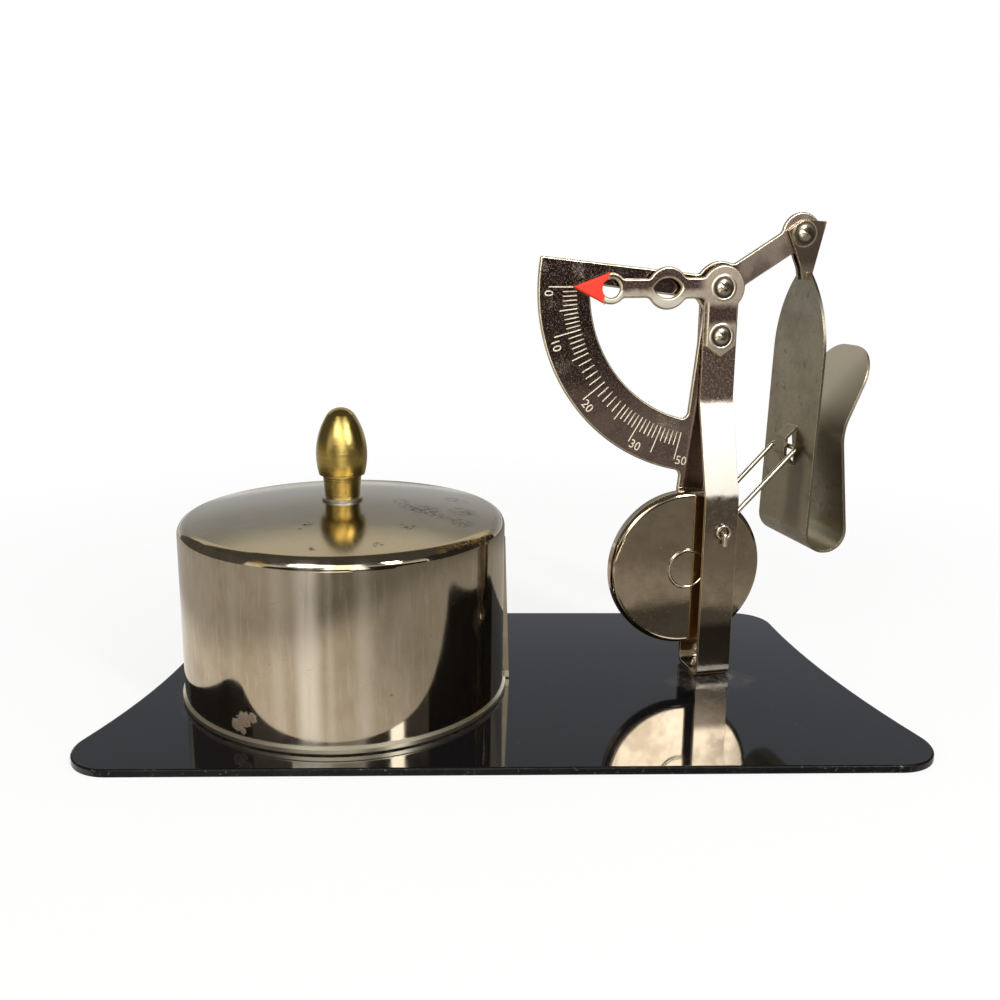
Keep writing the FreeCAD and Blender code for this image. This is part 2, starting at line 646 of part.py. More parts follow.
def notch(middle, body):
    """Count how much of a small ring about the corner lies in the metal."""
    inside = 0
    for k in range(24):
        a = math.radians(15 * k)
        point = middle + V(math.cos(a), 0, math.sin(a)) * 0.08
        inside += body.Tip.Shape.isInside(point, 1e-4, True)
    return inside > 13


# Beam: hub, quadrant, stem and arm cut from one sheet
def build_beam():
    body = new_body("pendulum_plate")
    thickness = size("beam_thickness")

    def sheet_pad(draw):
        sketch = new_sketch(body, "XZ_Plane", beam_back)
        draw(sketch)
        extrude(body, sketch, thickness)

    def bar(angle, length, width):
        end = polar(length, angle)
        return [beside((ZERO, ZERO), angle, width / 2), beside(end, angle, width / 2),
                beside(end, angle, -width / 2), beside((ZERO, ZERO), angle, -width / 2)]

    outer, inner = size("quadrant_outer"), size("quadrant_inner")
    start, end = size("quadrant_start"), size("quadrant_end")
    sheet_pad(lambda s: draw_circle(s, (ZERO, ZERO), size("beam_hub")))
    sheet_pad(lambda s: draw_loop(s, [polar(inner, start), polar(outer, start),
                                      polar(outer, end), polar(inner, end)],
                                  {1: (outer, -1), 3: (inner, 1)}))
    sheet_pad(lambda s: draw_loop(s, [
        (ZERO, size("spoke_top_z")), polar(outer, start),
        (size("spoke_outer_x"), size("spoke_outer_z")), (ZERO, size("spoke_low_z"))]))
    sheet_pad(lambda s: draw_loop(s, bar(size("stem_angle"), size("stem_length"),
                                         size("stem_width"))))
    sheet_pad(lambda s: draw_circle(s, weight_point, size("stem_width") / 2))
    sheet_pad(lambda s: draw_loop(s, bar(size("arm_angle"), size("arm_length"),
                                         size("arm_width"))))
    sheet_pad(lambda s: draw_circle(s, eye_point, size("eye_radius")))
    fillet(body, size("notch_round"), lambda e: across(e) and inner_corner(e, body))

    sketch = new_sketch(body, "XZ_Plane", beam_back)
    draw_circle(sketch, (ZERO, ZERO), rivet_bearing)
    draw_circle(sketch, eye_point, rivet_bearing)
    draw_circle(sketch, weight_point, size("weight_rivet_radius") + size("fixed_gap"))
    extrude(body, sketch, thickness, "Pocket", reverse=True)

    sketch = new_sketch(body, "XZ_Plane", beam_front)
    for angle, reach in tick_marks():
        corners = []
        for radius, side in ((float(size("tick_inner")), -1), (reach, -1), (reach, 1),
                             (float(size("tick_inner")), 1)):
            a = math.radians(angle)
            shift = side * float(size("tick_width")) / 2
            corners.append(V(radius * math.cos(a) - shift * math.sin(a),
                             radius * math.sin(a) + shift * math.cos(a), 0))
        draw_edges(sketch, [("line", corners[i], corners[(i + 1) % 4]) for i in range(4)])
    extrude(body, sketch, size("tick_depth"), "Pocket")
    placed(body, stand_x, stand_y, pivot_z, stand_yaw)


def tick_marks():
    """Angle and outer radius of each mark; the last span of the scale is closer."""
    lengths = {0: float(size("tick_long")), 5: float(size("tick_medium"))}
    marks = [(float(size("zero_angle")), lengths[0])]
    angle = float(size("zero_angle"))
    for low, high, step, sweep in DIAL_SPANS:
        for value in range(low + step, high + step, step):
            angle += sweep * step / (high - low)
            marks.append((angle, lengths.get(value % 10, float(size("tick_minor")))))
    return marks


# Counterweight: thick disc riveted on the front of the stem
def build_weight():
    radius, thickness = size("weight_radius"), size("weight_thickness")
    corner = size("weight_round")
    shank, boss = size("weight_rivet_radius"), size("weight_boss")
    bore = shank + size("fixed_gap")
    body = turned("weight_disc", "XY_Plane", [
        (bore, ZERO), (radius - corner, ZERO), (radius, -corner), (radius, -thickness + corner),
        (radius - corner, -thickness), (bore, -thickness)],
        {1: (corner, 1), 3: (corner, 1)})
    place_on_balance(body, weight_point, beam_front)
    back, rear_head = size("beam_thickness"), size("weight_rear_head")
    rear_end, front_end = back + size("weight_rear_height"), -thickness - size("weight_boss_height")
    body = turned("weight_rivet", "XY_Plane", [
        (ZERO, rear_end), (rear_head, rear_end), (rear_head, back), (shank, back),
        (shank, -thickness), (boss, -thickness), (boss, front_end), (ZERO, front_end)])
    place_on_balance(body, weight_point, beam_front)


def place_on_balance(body, point, depth):
    """Put a turned piece at a point of the swing plane, at a depth along its facing."""
    yaw = math.radians(float(stand_yaw))
    x, z = point
    sine = Dim(math.sin(yaw), "sin(%s)" % stand_yaw.text)
    cosine = Dim(math.cos(yaw), "cos(%s)" % stand_yaw.text)
    placed(body, stand_x + x * cosine + depth * sine, stand_y + x * sine - depth * cosine,
           pivot_z + z, stand_yaw)


def build_dome_rivet(label, point, seat, depth, rear_head):
    """Rivet along the facing direction: dome in front, flat head or flush end behind."""
    radius, dome, height = size("rivet_radius"), size("dome_radius"), size("dome_height")
    outline = [(ZERO, -height), (dome, ZERO), (radius, ZERO), (radius, depth)]
    if rear_head:
        rim, end = size("rear_head_radius"), depth + size("rear_head_height")
        outline += [(rim, depth), (rim - size("rear_head_bevel"), end), (ZERO, end)]
    else:
        outline += [(ZERO, depth)]
    body = turned(label, "XY_Plane", outline, {0: (arc_radius(height, dome), 1)})
    place_on_balance(body, point, seat)


# Letter clip: spring strip folded into a narrow trough, hung by two ears
def build_clip():
    body = new_body("letter_clip")
    t = float(size("clip_thickness"))
    middle = (beam_front + beam_back) / 2
    trough_end = (clip_foot[0] + size("trough_width"), clip_foot[1])
    throat = from_eye(size("clip_throat_out"), size("clip_throat_drop"))
    lip = from_eye(size("clip_lip_out"), size("clip_lip_drop"))
    line = [V(float(x), float(z), 0)
            for x, z in (clip_neck, clip_crown, clip_foot, trough_end, throat, lip)]
    radii = [float(size("clip_" + name + "_radius")) for name in ("crown", "bend", "bend", "throat")]
    sketch = new_sketch(body, "XZ_Plane", middle)
    draw_edges(sketch, strip_outline(line, radii, t))
    extrude(body, sketch, size("clip_width"), midplane=True)

    # the first leaf narrows to its neck in two arcs
    half, neck = size("clip_width") / 2, size("clip_neck_half")
    shoulder, top = eye_point[1] - size("clip_shoulder_drop"), clip_neck[1]
    beyond = top + CLEAR * 3
    radius = arc_radius(half - neck, top - shoulder)
    between = (clip_neck[0] + trough_end[0]) / 2
    for side in (1, -1):
        sketch = new_sketch(body, "YZ_Plane", between)
        edge, inner = half * side - middle, neck * side - middle
        outside = edge + CLEAR * side * 3
        draw_loop(sketch, [(edge, shoulder), (inner, top), (inner, beyond), (outside, beyond),
                           (outside, shoulder)], {0: (radius, -side)})
        extrude(body, sketch, between - clip_foot[0] + CLEAR * 3, "Pocket")
    fillet(body, size("clip_lobe_round"), lambda e: free_corner(e, throat, lip))

    # slot left where the bridge for the link is raised
    width = size("bridge_width")
    bridge_y = (front_wire + rear_wire) / 2
    reach = size("bridge_half")
    cut = reach - size("bridge_lap")
    sketch = new_sketch(body, "YZ_Plane", clip_foot[0] - CLEAR * 3)
    draw_loop(sketch, [(-width / 2 - bridge_y, bridge_z - cut), (width / 2 - bridge_y, bridge_z - cut),
                       (width / 2 - bridge_y, bridge_z + cut), (-width / 2 - bridge_y, bridge_z + cut)])
    extrude(body, sketch, CLEAR * 7, "Pocket", reverse=True)
    out_x = float(link_high[0] - size("wire_radius") - size("wire_gap")) - t / 2
    z, rise, flat = float(bridge_z), float(reach), float(size("bridge_flat"))
    leaf_x, lean = float(bridge_leaf_x), float(leaf_lean) * rise
    line = [V(leaf_x + lean, z + rise, 0), V(out_x, z + flat, 0), V(out_x, z - flat, 0),
            V(leaf_x - lean, z - rise, 0)]
    sketch = new_sketch(body, "XZ_Plane", bridge_y)
    draw_edges(sketch, strip_outline(line, [float(size("bridge_bend"))] * 2, t))
    extrude(body, sketch, width, midplane=True)

    # ears on both sides of the arm's eye
    ex, ez = eye_point
    left, right, rise = size("ear_left"), size("ear_right"), size("ear_rise")
    root, foot = clip_neck[0] - size("ear_root") / 2, clip_neck[1] - size("ear_lap")
    for seat in (beam_front + size("ear_gap"),
                 beam_back - size("ear_gap") - size("ear_thickness")):
        sketch = new_sketch(body, "XZ_Plane", seat)
        draw_loop(sketch, [(ex - left, ez + left / 6), (ex, ez + rise), (ex + right, ez + rise * 0.875),
                           (root + size("ear_root") * 0.9, foot), (root - size("ear_root") * 0.1, foot),
                           (root - size("ear_root") * 0.37, clip_neck[1] + size("ear_root") / 2)])
        extrude(body, sketch, size("ear_thickness"))
    sketch = new_sketch(body, "XZ_Plane", beam_front + size("ear_gap") + size("ear_thickness") + CLEAR)
    draw_circle(sketch, eye_point, rivet_hole)
    extrude(body, sketch, (size("ear_gap") + size("ear_thickness") + CLEAR) * 2
            + size("beam_thickness"), "Pocket")
    placed(body, stand_x, stand_y, pivot_z, stand_yaw)


def free_corner(edge, throat, lip):
    """Short edge through the sheet at the free end of the second leaf."""
    box = edge.BoundBox
    high = float(lip[1]) - float(size("clip_thickness")) * 2
    return (box.YLength < 1e-3 and box.XMin > float(throat[0]) + 2.0
            and edge.Length < float(size("clip_thickness")) * 1.6 and box.ZMin > high)


# Wire link: one bent wire, its bight in the clip's bridge, its ends hooked through the struts
def build_link():
    r, bend = float(size("wire_radius")), float(size("wire_bend"))
    low = V(float(link_low[0]), 0, float(link_low[1]))
    high = V(float(link_high[0]), 0, float(link_high[1]))
    front, rear = -float(front_wire), -float(rear_wire)
    tail_y = -float(size("front_offset") + size("tail_stand_off"))
    end_y = float(size("rear_inner_low") - size("wire_end_in"))
    points = [low + V(0, tail_y, -float(size("wire_tail"))), low + V(0, tail_y, 0),
              low + V(0, front, 0), high + V(0, front, 0), high + V(0, rear, 0),
              low + V(0, rear, 0), low + V(0, end_y, 0)]
    edges = []
    start = points[0]
    for before, point, after in zip(points, points[1:], points[2:]):
        into, out = (point - before).normalize(), (after - point).normalize()
        turn = into.getAngle(out)
        radius = float(size("tail_bend")) if before in (points[0], points[1]) else bend
        reach = radius * math.tan(turn / 2)
        a, b = point - into * reach, point + out * reach
        centre = a + (out - into * into.dot(out)).normalize() * radius
        edges.append(Part.LineSegment(start, a).toShape())
        edges.append(Part.Arc(a, centre + (point - centre).normalize() * radius, b).toShape())
        start = b
    edges.append(Part.LineSegment(start, points[-1]).toShape())
    path = Part.Wire(edges)
    ring = Part.Wire([Part.makeCircle(r, points[0], points[1] - points[0])])
    shape = path.makePipeShell([ring], True, False)
    wire = doc.addObject("Part::Feature", "wire_link")
    wire.Label = "wire_link"
    wire.Shape = shape
    print("wire volume", round(shape.Volume, 2), "of", round(path.Length * math.pi * r * r, 2))
    placed(wire, stand_x, stand_y, pivot_z, stand_yaw)
    BODIES.append(wire)


build_base_plate()
build_drum_seat()
for number, (rivet_x, rivet_y) in enumerate(seat_rivet_points(), start=1):
    build_floor_rivet("seat_rivet_%d" % number, rivet_x, rivet_y, size("seat_rivet_radius"),
                      size("seat_rivet_head"), size("seat_rivet_head_height"), size("seat_wall"))
build_floor_rivet("stand_rivet", stand_x, stand_y, size("stand_rivet_radius"),
                  size("stand_rivet_head"), size("stand_rivet_head_height"), strip,
                  size("running_gap"))
build_drum_cover()
build_knob()
build_stand()
build_pointer()
build_dome_rivet("pivot_rivet", (ZERO, ZERO), pointer_front, pointer_front - stand_back_top, True)
build_dome_rivet("pointer_rivet", (ZERO, -size("rivet_drop")), pointer_front,
                 pointer_front + strip, False)
build_beam()
build_weight()
build_clip()
ear_front = beam_front + size("ear_gap") + size("ear_thickness")
ear_back = beam_back - size("ear_gap") - size("ear_thickness")
washer_front = ear_front + size("clip_washer_thickness")
clip_washer = turned("clip_washer", "XY_Plane", [
    (rivet_hole, ZERO), (size("clip_washer_radius"), ZERO),
    (size("clip_washer_radius"), -size("clip_washer_thickness")),
    (rivet_hole, -size("clip_washer_thickness"))])
place_on_balance(clip_washer, eye_point, ear_front)
build_dome_rivet("clip_rivet", eye_point, washer_front, washer_front - ear_back, True)
build_link()

doc.recompute()
for thing in doc.Objects:
    if "Invalid" in thing.State or "Error" in thing.State:
        raise RuntimeError("failed object: " + thing.Label)
for body in BODIES:
    if body.Shape.isNull() or not body.Shape.isValid() or len(body.Shape.Solids) != 1:
        raise RuntimeError("bad shape: " + body.Label)
for body in BODIES:
    body.Shape.exportStep("parts/%s.step" % body.Label)
    print(body.Label, round(body.Shape.Volume, 1))
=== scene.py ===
import json
import math

import bmesh
import bpy
from mathutils import Matrix, Vector

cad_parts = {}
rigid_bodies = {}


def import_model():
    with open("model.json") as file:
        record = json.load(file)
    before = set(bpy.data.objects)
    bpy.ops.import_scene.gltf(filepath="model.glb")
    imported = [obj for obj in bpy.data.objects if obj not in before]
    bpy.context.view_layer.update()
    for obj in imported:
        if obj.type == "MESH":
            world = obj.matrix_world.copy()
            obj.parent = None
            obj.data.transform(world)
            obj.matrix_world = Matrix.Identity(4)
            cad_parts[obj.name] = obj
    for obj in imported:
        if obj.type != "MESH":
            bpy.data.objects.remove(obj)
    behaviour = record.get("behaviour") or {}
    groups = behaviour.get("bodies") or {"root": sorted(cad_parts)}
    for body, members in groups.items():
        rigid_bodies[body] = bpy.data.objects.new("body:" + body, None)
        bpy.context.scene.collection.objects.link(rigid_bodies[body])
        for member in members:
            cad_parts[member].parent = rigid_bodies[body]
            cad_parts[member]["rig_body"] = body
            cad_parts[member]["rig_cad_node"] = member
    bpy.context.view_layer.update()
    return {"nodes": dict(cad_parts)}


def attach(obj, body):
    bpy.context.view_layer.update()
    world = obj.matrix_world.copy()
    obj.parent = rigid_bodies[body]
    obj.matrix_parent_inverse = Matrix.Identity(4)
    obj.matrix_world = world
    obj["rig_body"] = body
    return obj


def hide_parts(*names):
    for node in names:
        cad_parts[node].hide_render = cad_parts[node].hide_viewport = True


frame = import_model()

# Letter balance and stamp drum on a black plate. The frame is in metres; finishes are laid out
# in millimetres, in the drum's or the balance's own directions.

MM = 0.001
DRUM = (-33.5, -1.2, 0.0)
DRUM_RADIUS = 35.0
LID_EDGE = 39.9           # height where the side ends and the domed lid begins
BALANCE = (47.9, 5.8, 87.8)
BALANCE_YAW = math.radians(11.0)
KNOB = (-33.5, -1.2, 43.79)
BEAM_FRONT = 1.1          # depth of the dial's face behind the stand's face
MARKS = (31.9, 38.4)      # the ring of the dial that holds the cut marks
RIVET_DROP = 10.3
CLIP_RIVET = (18.30, 11.39)
WIRE_HOLE = (0.5, -52.6)
WEIGHT_CENTRE = (-6.2, -61.4)
NUMBERS = (("0", 181.4), ("10", 197.9), ("20", 220.4), ("30", 241.8), ("50", 259.2))
PLATE_FRONT = -41.2        # where the front edge crosses the middle of the plate
FRONT_LEAN = 0.01144      # and how far it runs back for each millimetre to the right
FOOT_DUST = ((42.0, -2.5, 5.0, 0.2), (54.0, -1.0, 5.5, 0.17), (47.5, -3.5, 5.0, 0.26), (51.5, 0.5, 3.0, 0.24))
SMUDGES = ((17.9, -6.1, 3.6, 0.8), (14.5, -4.6, 2.6, 0.6), (25.8, -4.3, 3.4, 0.7), (14.9, -17.5, 1.8, 0.8),
           (12.7, -1.0, 2.2, 0.5), (-5.2, -17.7, 1.3, 0.9), (-6.4, -20.8, 0.8, 0.9), (25.3, -12.0, 3.0, 0.6),
           (24.4, 5.6, 3.2, 0.45), (-2.7, -29.9, 0.8, 0.8), (21.0, -9.5, 2.4, 0.6), (9.5, -27.5, 1.2, 0.5))

NICKEL = (0.50, 0.445, 0.35)
BRASS_BARE = (0.62, 0.42, 0.10)
CREAM = (0.78, 0.69, 0.54)
DUST = (0.20, 0.18, 0.155)
SKY = 0.62


# Small helpers for node trees

def add(tree, kind, inputs=None, **settings):
    """New node with its settings, and each input linked or set."""
    node = tree.nodes.new(kind)
    for name, value in settings.items():
        setattr(node, name, value)
    for key, value in (inputs or {}).items():
        feed(tree, node.inputs[key], value)
    return node


def feed(tree, socket, value):
    if isinstance(value, bpy.types.NodeSocket):
        tree.links.new(value, socket)
    elif isinstance(value, tuple) and len(value) == 3 and socket.type == "RGBA":
        socket.default_value = (*value, 1.0)
    else:
        socket.default_value = value


def maths(tree, operation, *values, clamp=False):
    return add(tree, "ShaderNodeMath", dict(enumerate(values)), operation=operation,
               use_clamp=clamp).outputs[0]


def smooth_step(tree, value, low, high):
    return add(tree, "ShaderNodeMapRange", {"Value": value, "From Min": low, "From Max": high},
               interpolation_type="SMOOTHSTEP").outputs[0]


def noise(tree, vector, scale, detail=3.0, rough=0.55):
    return add(tree, "ShaderNodeTexNoise", {"Vector": vector, "Scale": scale, "Detail": detail,
                                            "Roughness": rough}).outputs["Fac"]


def new_group(name, inputs, output="Mask"):
    tree = bpy.data.node_groups.new(name, "ShaderNodeTree")
    for label, kind, value in inputs:
        socket = tree.interface.new_socket(label, in_out="INPUT", socket_type=kind)
        if value is not None:
            socket.default_value = value
    tree.interface.new_socket(output, in_out="OUTPUT", socket_type="NodeSocketFloat")
    return tree, tree.nodes.new("NodeGroupInput"), tree.nodes.new("NodeGroupOutput")


VECTOR, FLOAT = "NodeSocketVector", "NodeSocketFloat"


# Effects shared by the finishes

def make_clouds():
    """Soft patches of ageing."""
    tree, given, out = new_group("ageing clouds", [
        ("Vector", VECTOR, None), ("Scale", FLOAT, 0.1), ("Low", FLOAT, 0.4), ("High", FLOAT, 0.62)])
    broad = noise(tree, given.outputs["Vector"], given.outputs["Scale"], 4.0, 0.6)
    fine_scale = maths(tree, "MULTIPLY", given.outputs["Scale"], 5.3)
    fine = noise(tree, given.outputs["Vector"], fine_scale, 3.0, 0.6)
    both = maths(tree, "ADD", maths(tree, "MULTIPLY", broad, 0.72), maths(tree, "MULTIPLY", fine, 0.28))
    mask = smooth_step(tree, both, given.outputs["Low"], given.outputs["High"])
    tree.links.new(mask, out.inputs[0])
    return tree


def make_pits():
    """Small round specks, gathered where a broad noise lets them."""
    tree, given, out = new_group("pits", [
        ("Vector", VECTOR, None), ("Scale", FLOAT, 1.0), ("Radius", FLOAT, 0.2), ("Cover", FLOAT, 0.5)])
    cells = add(tree, "ShaderNodeTexVoronoi", {"Vector": given.outputs["Vector"],
                                               "Scale": given.outputs["Scale"], "Randomness": 1.0})
    rim = maths(tree, "MULTIPLY", given.outputs["Radius"], 0.6)
    dot = maths(tree, "SUBTRACT", 1.0,
                smooth_step(tree, cells.outputs["Distance"], rim, given.outputs["Radius"]))
    patch = noise(tree, given.outputs["Vector"], maths(tree, "MULTIPLY", given.outputs["Scale"], 0.22))
    gate = maths(tree, "SUBTRACT", 1.0, given.outputs["Cover"])
    there = smooth_step(tree, patch, gate, maths(tree, "ADD", gate, 0.08))
    tree.links.new(maths(tree, "MULTIPLY", dot, there), out.inputs[0])
    return tree


def make_hairlines():
    """Fine curved scratches: thin level lines of a stretched noise."""
    tree, given, out = new_group("hairlines", [
        ("Vector", VECTOR, None), ("Scale", FLOAT, 0.3), ("Stretch", VECTOR, (1.0, 1.0, 1.0)),
        ("Width", FLOAT, 0.004)])
    drawn = add(tree, "ShaderNodeVectorMath", {0: given.outputs["Vector"], 1: given.outputs["Stretch"]},
                operation="MULTIPLY").outputs[0]
    level = noise(tree, drawn, given.outputs["Scale"], 2.0, 0.5)
    away = maths(tree, "ABSOLUTE", maths(tree, "SUBTRACT", level, 0.5))
    line = maths(tree, "SUBTRACT", 1.0, smooth_step(tree, away, 0.0, given.outputs["Width"]))
    broken = smooth_step(tree, noise(tree, given.outputs["Vector"],
                                     maths(tree, "MULTIPLY", given.outputs["Scale"], 1.7)), 0.48, 0.6)
    tree.links.new(maths(tree, "MULTIPLY", line, broken), out.inputs[0])
    return tree


def make_zone():
    """One between two values, with soft ends."""
    tree, given, out = new_group("zone", [
        ("Value", FLOAT, 0.0), ("Low", FLOAT, 0.0), ("High", FLOAT, 1.0), ("Soft", FLOAT, 0.1)])
    ends = []
    for end in ("Low", "High"):
        before = maths(tree, "SUBTRACT", given.outputs[end], given.outputs["Soft"])
        after = maths(tree, "ADD", given.outputs[end], given.outputs["Soft"])
        ends.append(smooth_step(tree, given.outputs["Value"], before, after))
    inside = maths(tree, "MULTIPLY", ends[0], maths(tree, "SUBTRACT", 1.0, ends[1]))
    tree.links.new(inside, out.inputs[0])
    return tree


def make_spot():
    """A ragged patch round a point."""
    tree, given, out = new_group("spot", [
        ("Vector", VECTOR, None), ("Centre", VECTOR, (0.0, 0.0, 0.0)), ("Radius", FLOAT, 1.0),
        ("Ragged", FLOAT, 0.5), ("Scale", FLOAT, 1.0)])
    gap = add(tree, "ShaderNodeVectorMath", {0: given.outputs["Vector"], 1: given.outputs["Centre"]},
              operation="DISTANCE").outputs["Value"]
    rough = maths(tree, "SUBTRACT", noise(tree, given.outputs["Vector"], given.outputs["Scale"], 5.0, 0.7), 0.5)
    shift = maths(tree, "MULTIPLY", maths(tree, "MULTIPLY", rough, given.outputs["Ragged"]),
                  maths(tree, "MULTIPLY", given.outputs["Radius"], 6.0))
    far = maths(tree, "ADD", gap, shift)
    inner = maths(tree, "MULTIPLY", given.outputs["Radius"], 0.5)
    mask = maths(tree, "SUBTRACT", 1.0, smooth_step(tree, far, inner, given.outputs["Radius"]))
    tree.links.new(mask, out.inputs[0])
    return tree


CLOUDS, PITS, HAIRLINES, ZONE, SPOT = (
    make_clouds(), make_pits(), make_hairlines(), make_zone(), make_spot())


class Finish:
    """A material built up in layers: a ground, then what lies or is worn on it."""

    def __init__(self, name, colour, rough, metal=1.0, centre=(0.0, 0.0, 0.0), yaw=0.0, **plain):
        self.material = bpy.data.materials.new(name)
        self.material.use_nodes = True
        self.tree = self.material.node_tree
        self.shader = self.tree.nodes["Principled BSDF"]
        self.colour, self.rough, self.metal = colour, rough, metal
        self.height = None
        for socket, value in plain.items():
            self.shader.inputs[socket.replace("_", " ")].default_value = value
        coordinates = add(self.tree, "ShaderNodeTexCoord")
        self.place = add(self.tree, "ShaderNodeMapping", {
            "Vector": coordinates.outputs["Object"], "Location": tuple(c * MM for c in centre),
            "Rotation": (0.0, 0.0, yaw), "Scale": (MM, MM, MM)}, vector_type="TEXTURE").outputs[0]
        parts = add(self.tree, "ShaderNodeSeparateXYZ", {0: self.place})
        self.x, self.y, self.z = parts.outputs[0], parts.outputs[1], parts.outputs[2]

    def group(self, kind, **inputs):
        if "Vector" in kind.interface.items_tree.keys() and "Vector" not in inputs:
            inputs["Vector"] = self.place
        node = add(self.tree, "ShaderNodeGroup", node_tree=kind)
        for key, value in inputs.items():
            feed(self.tree, node.inputs[key], value)
        return node.outputs[0]

    def maths(self, operation, *values, clamp=False):
        return maths(self.tree, operation, *values, clamp=clamp)

    def all_of(self, *masks):
        result = masks[0]
        for mask in masks[1:]:
            result = self.maths("MULTIPLY", result, mask)
        return result

    def from_line(self, x, z):
        """Distance from the line that goes through x, z from the viewer's side to the back."""
        across, up = self.maths("SUBTRACT", self.x, x), self.maths("SUBTRACT", self.z, z)
        return self.maths("SQRT", self.maths("ADD", self.maths("MULTIPLY", across, across),
                                             self.maths("MULTIPLY", up, up)))

    def angle(self):
        """Degrees round the vertical axis through the centre."""
        return self.maths("MULTIPLY", self.maths("ARCTAN2", self.y, self.x), 180.0 / math.pi)

    def _mix(self, kind, mask, below, above):
        if kind == "RGBA":
            node = add(self.tree, "ShaderNodeMix", data_type="RGBA")
            first, second, result = node.inputs[6], node.inputs[7], node.outputs[2]
        else:
            node = add(self.tree, "ShaderNodeMix", data_type="FLOAT")
            first, second, result = node.inputs[2], node.inputs[3], node.outputs[0]
        feed(self.tree, node.inputs[0], mask)
        feed(self.tree, first, below)
        feed(self.tree, second, above)
        return result

    def lay(self, mask, colour=None, rough=None, metal=None):
        if colour is not None:
            self.colour = self._mix("RGBA", mask, self.colour, colour)
        if rough is not None:
            self.rough = self._mix("VALUE", mask, self.rough, rough)
        if metal is not None:
            self.metal = self._mix("VALUE", mask, self.metal, metal)

    def raise_by(self, value, share):
        part = self.maths("MULTIPLY", value, share)
        self.height = part if self.height is None else self.maths("ADD", self.height, part)

    def done(self, bump=0.02):
        for label, value in (("Base Color", self.colour), ("Roughness", self.rough),
                             ("Metallic", self.metal)):
            feed(self.tree, self.shader.inputs[label], value)
        if self.height is not None:
            node = add(self.tree, "ShaderNodeBump", {"Height": self.height, "Strength": 1.0,
                                                     "Distance": bump * MM})
            self.tree.links.new(node.outputs[0], self.shader.inputs["Normal"])
        return self.material


# Finishes

def lacquer():
    f = Finish("black_lacquer", (0.0055, 0.0053, 0.0062), 0.045, 0.0, Specular_IOR_Level=0.43)
    f.lay(f.group(CLOUDS, Scale=0.045), rough=0.07)
    specks = f.group(PITS, Scale=0.55, Radius=0.08, Cover=0.44)
    f.lay(f.maths("MULTIPLY", specks, 0.5), colour=DUST, rough=0.6)
    # the front edge runs back a little towards the right; its lacquer is worn
    front = f.maths("ADD", f.maths("MULTIPLY", f.x, FRONT_LEAN), PLATE_FRONT)
    from_front = f.maths("SUBTRACT", f.y, front)
    edge = f.group(ZONE, Value=from_front, Low=-1.5, High=0.3, Soft=0.12)
    chips = smooth_step(f.tree, noise(f.tree, f.place, 1.3, 4.0, 0.7), 0.6, 0.68)
    rubbed = smooth_step(f.tree, noise(f.tree, f.place, 0.25, 3.0, 0.6), 0.42, 0.66)
    f.lay(edge, colour=(0.007, 0.0065, 0.007), rough=0.4, metal=0.7)
    f.lay(f.all_of(edge, rubbed, 0.12), colour=(0.05, 0.045, 0.045), rough=0.5)
    f.lay(f.all_of(edge, chips, 0.5), colour=(0.26, 0.235, 0.21), rough=0.5, metal=0.4)
    # dust wiped into a soft smear at the foot of the stand, and lying round the drum
    lint = smooth_step(f.tree, noise(f.tree, f.place, 0.9, 5.0, 0.7), 0.44, 0.62)
    for x, y, radius, depth in FOOT_DUST:
        smear = f.group(SPOT, Centre=(x, y, 1.5), Radius=radius, Ragged=0.3, Scale=0.3)
        f.lay(f.all_of(smear, f.maths("ADD", f.maths("MULTIPLY", lint, 0.7), 0.3), depth), colour=DUST, rough=0.8)
    flat = add(f.tree, "ShaderNodeCombineXYZ", {0: f.x, 1: f.y, 2: 0.0}).outputs[0]
    from_drum = add(f.tree, "ShaderNodeVectorMath", {0: flat, 1: DRUM}, operation="DISTANCE").outputs["Value"]
    ring = f.group(ZONE, Value=from_drum, Low=30.0, High=DRUM_RADIUS + 1.6, Soft=0.8)
    f.lay(f.all_of(ring, lint, 0.1), colour=DUST, rough=0.8)
    return f.done()


def on_side(azimuth_deg, height):
    """A point on the drum's side, from the drum's own centre."""
    azimuth = math.radians(azimuth_deg)
    return (DRUM_RADIUS * math.cos(azimuth), DRUM_RADIUS * math.sin(azimuth), height)


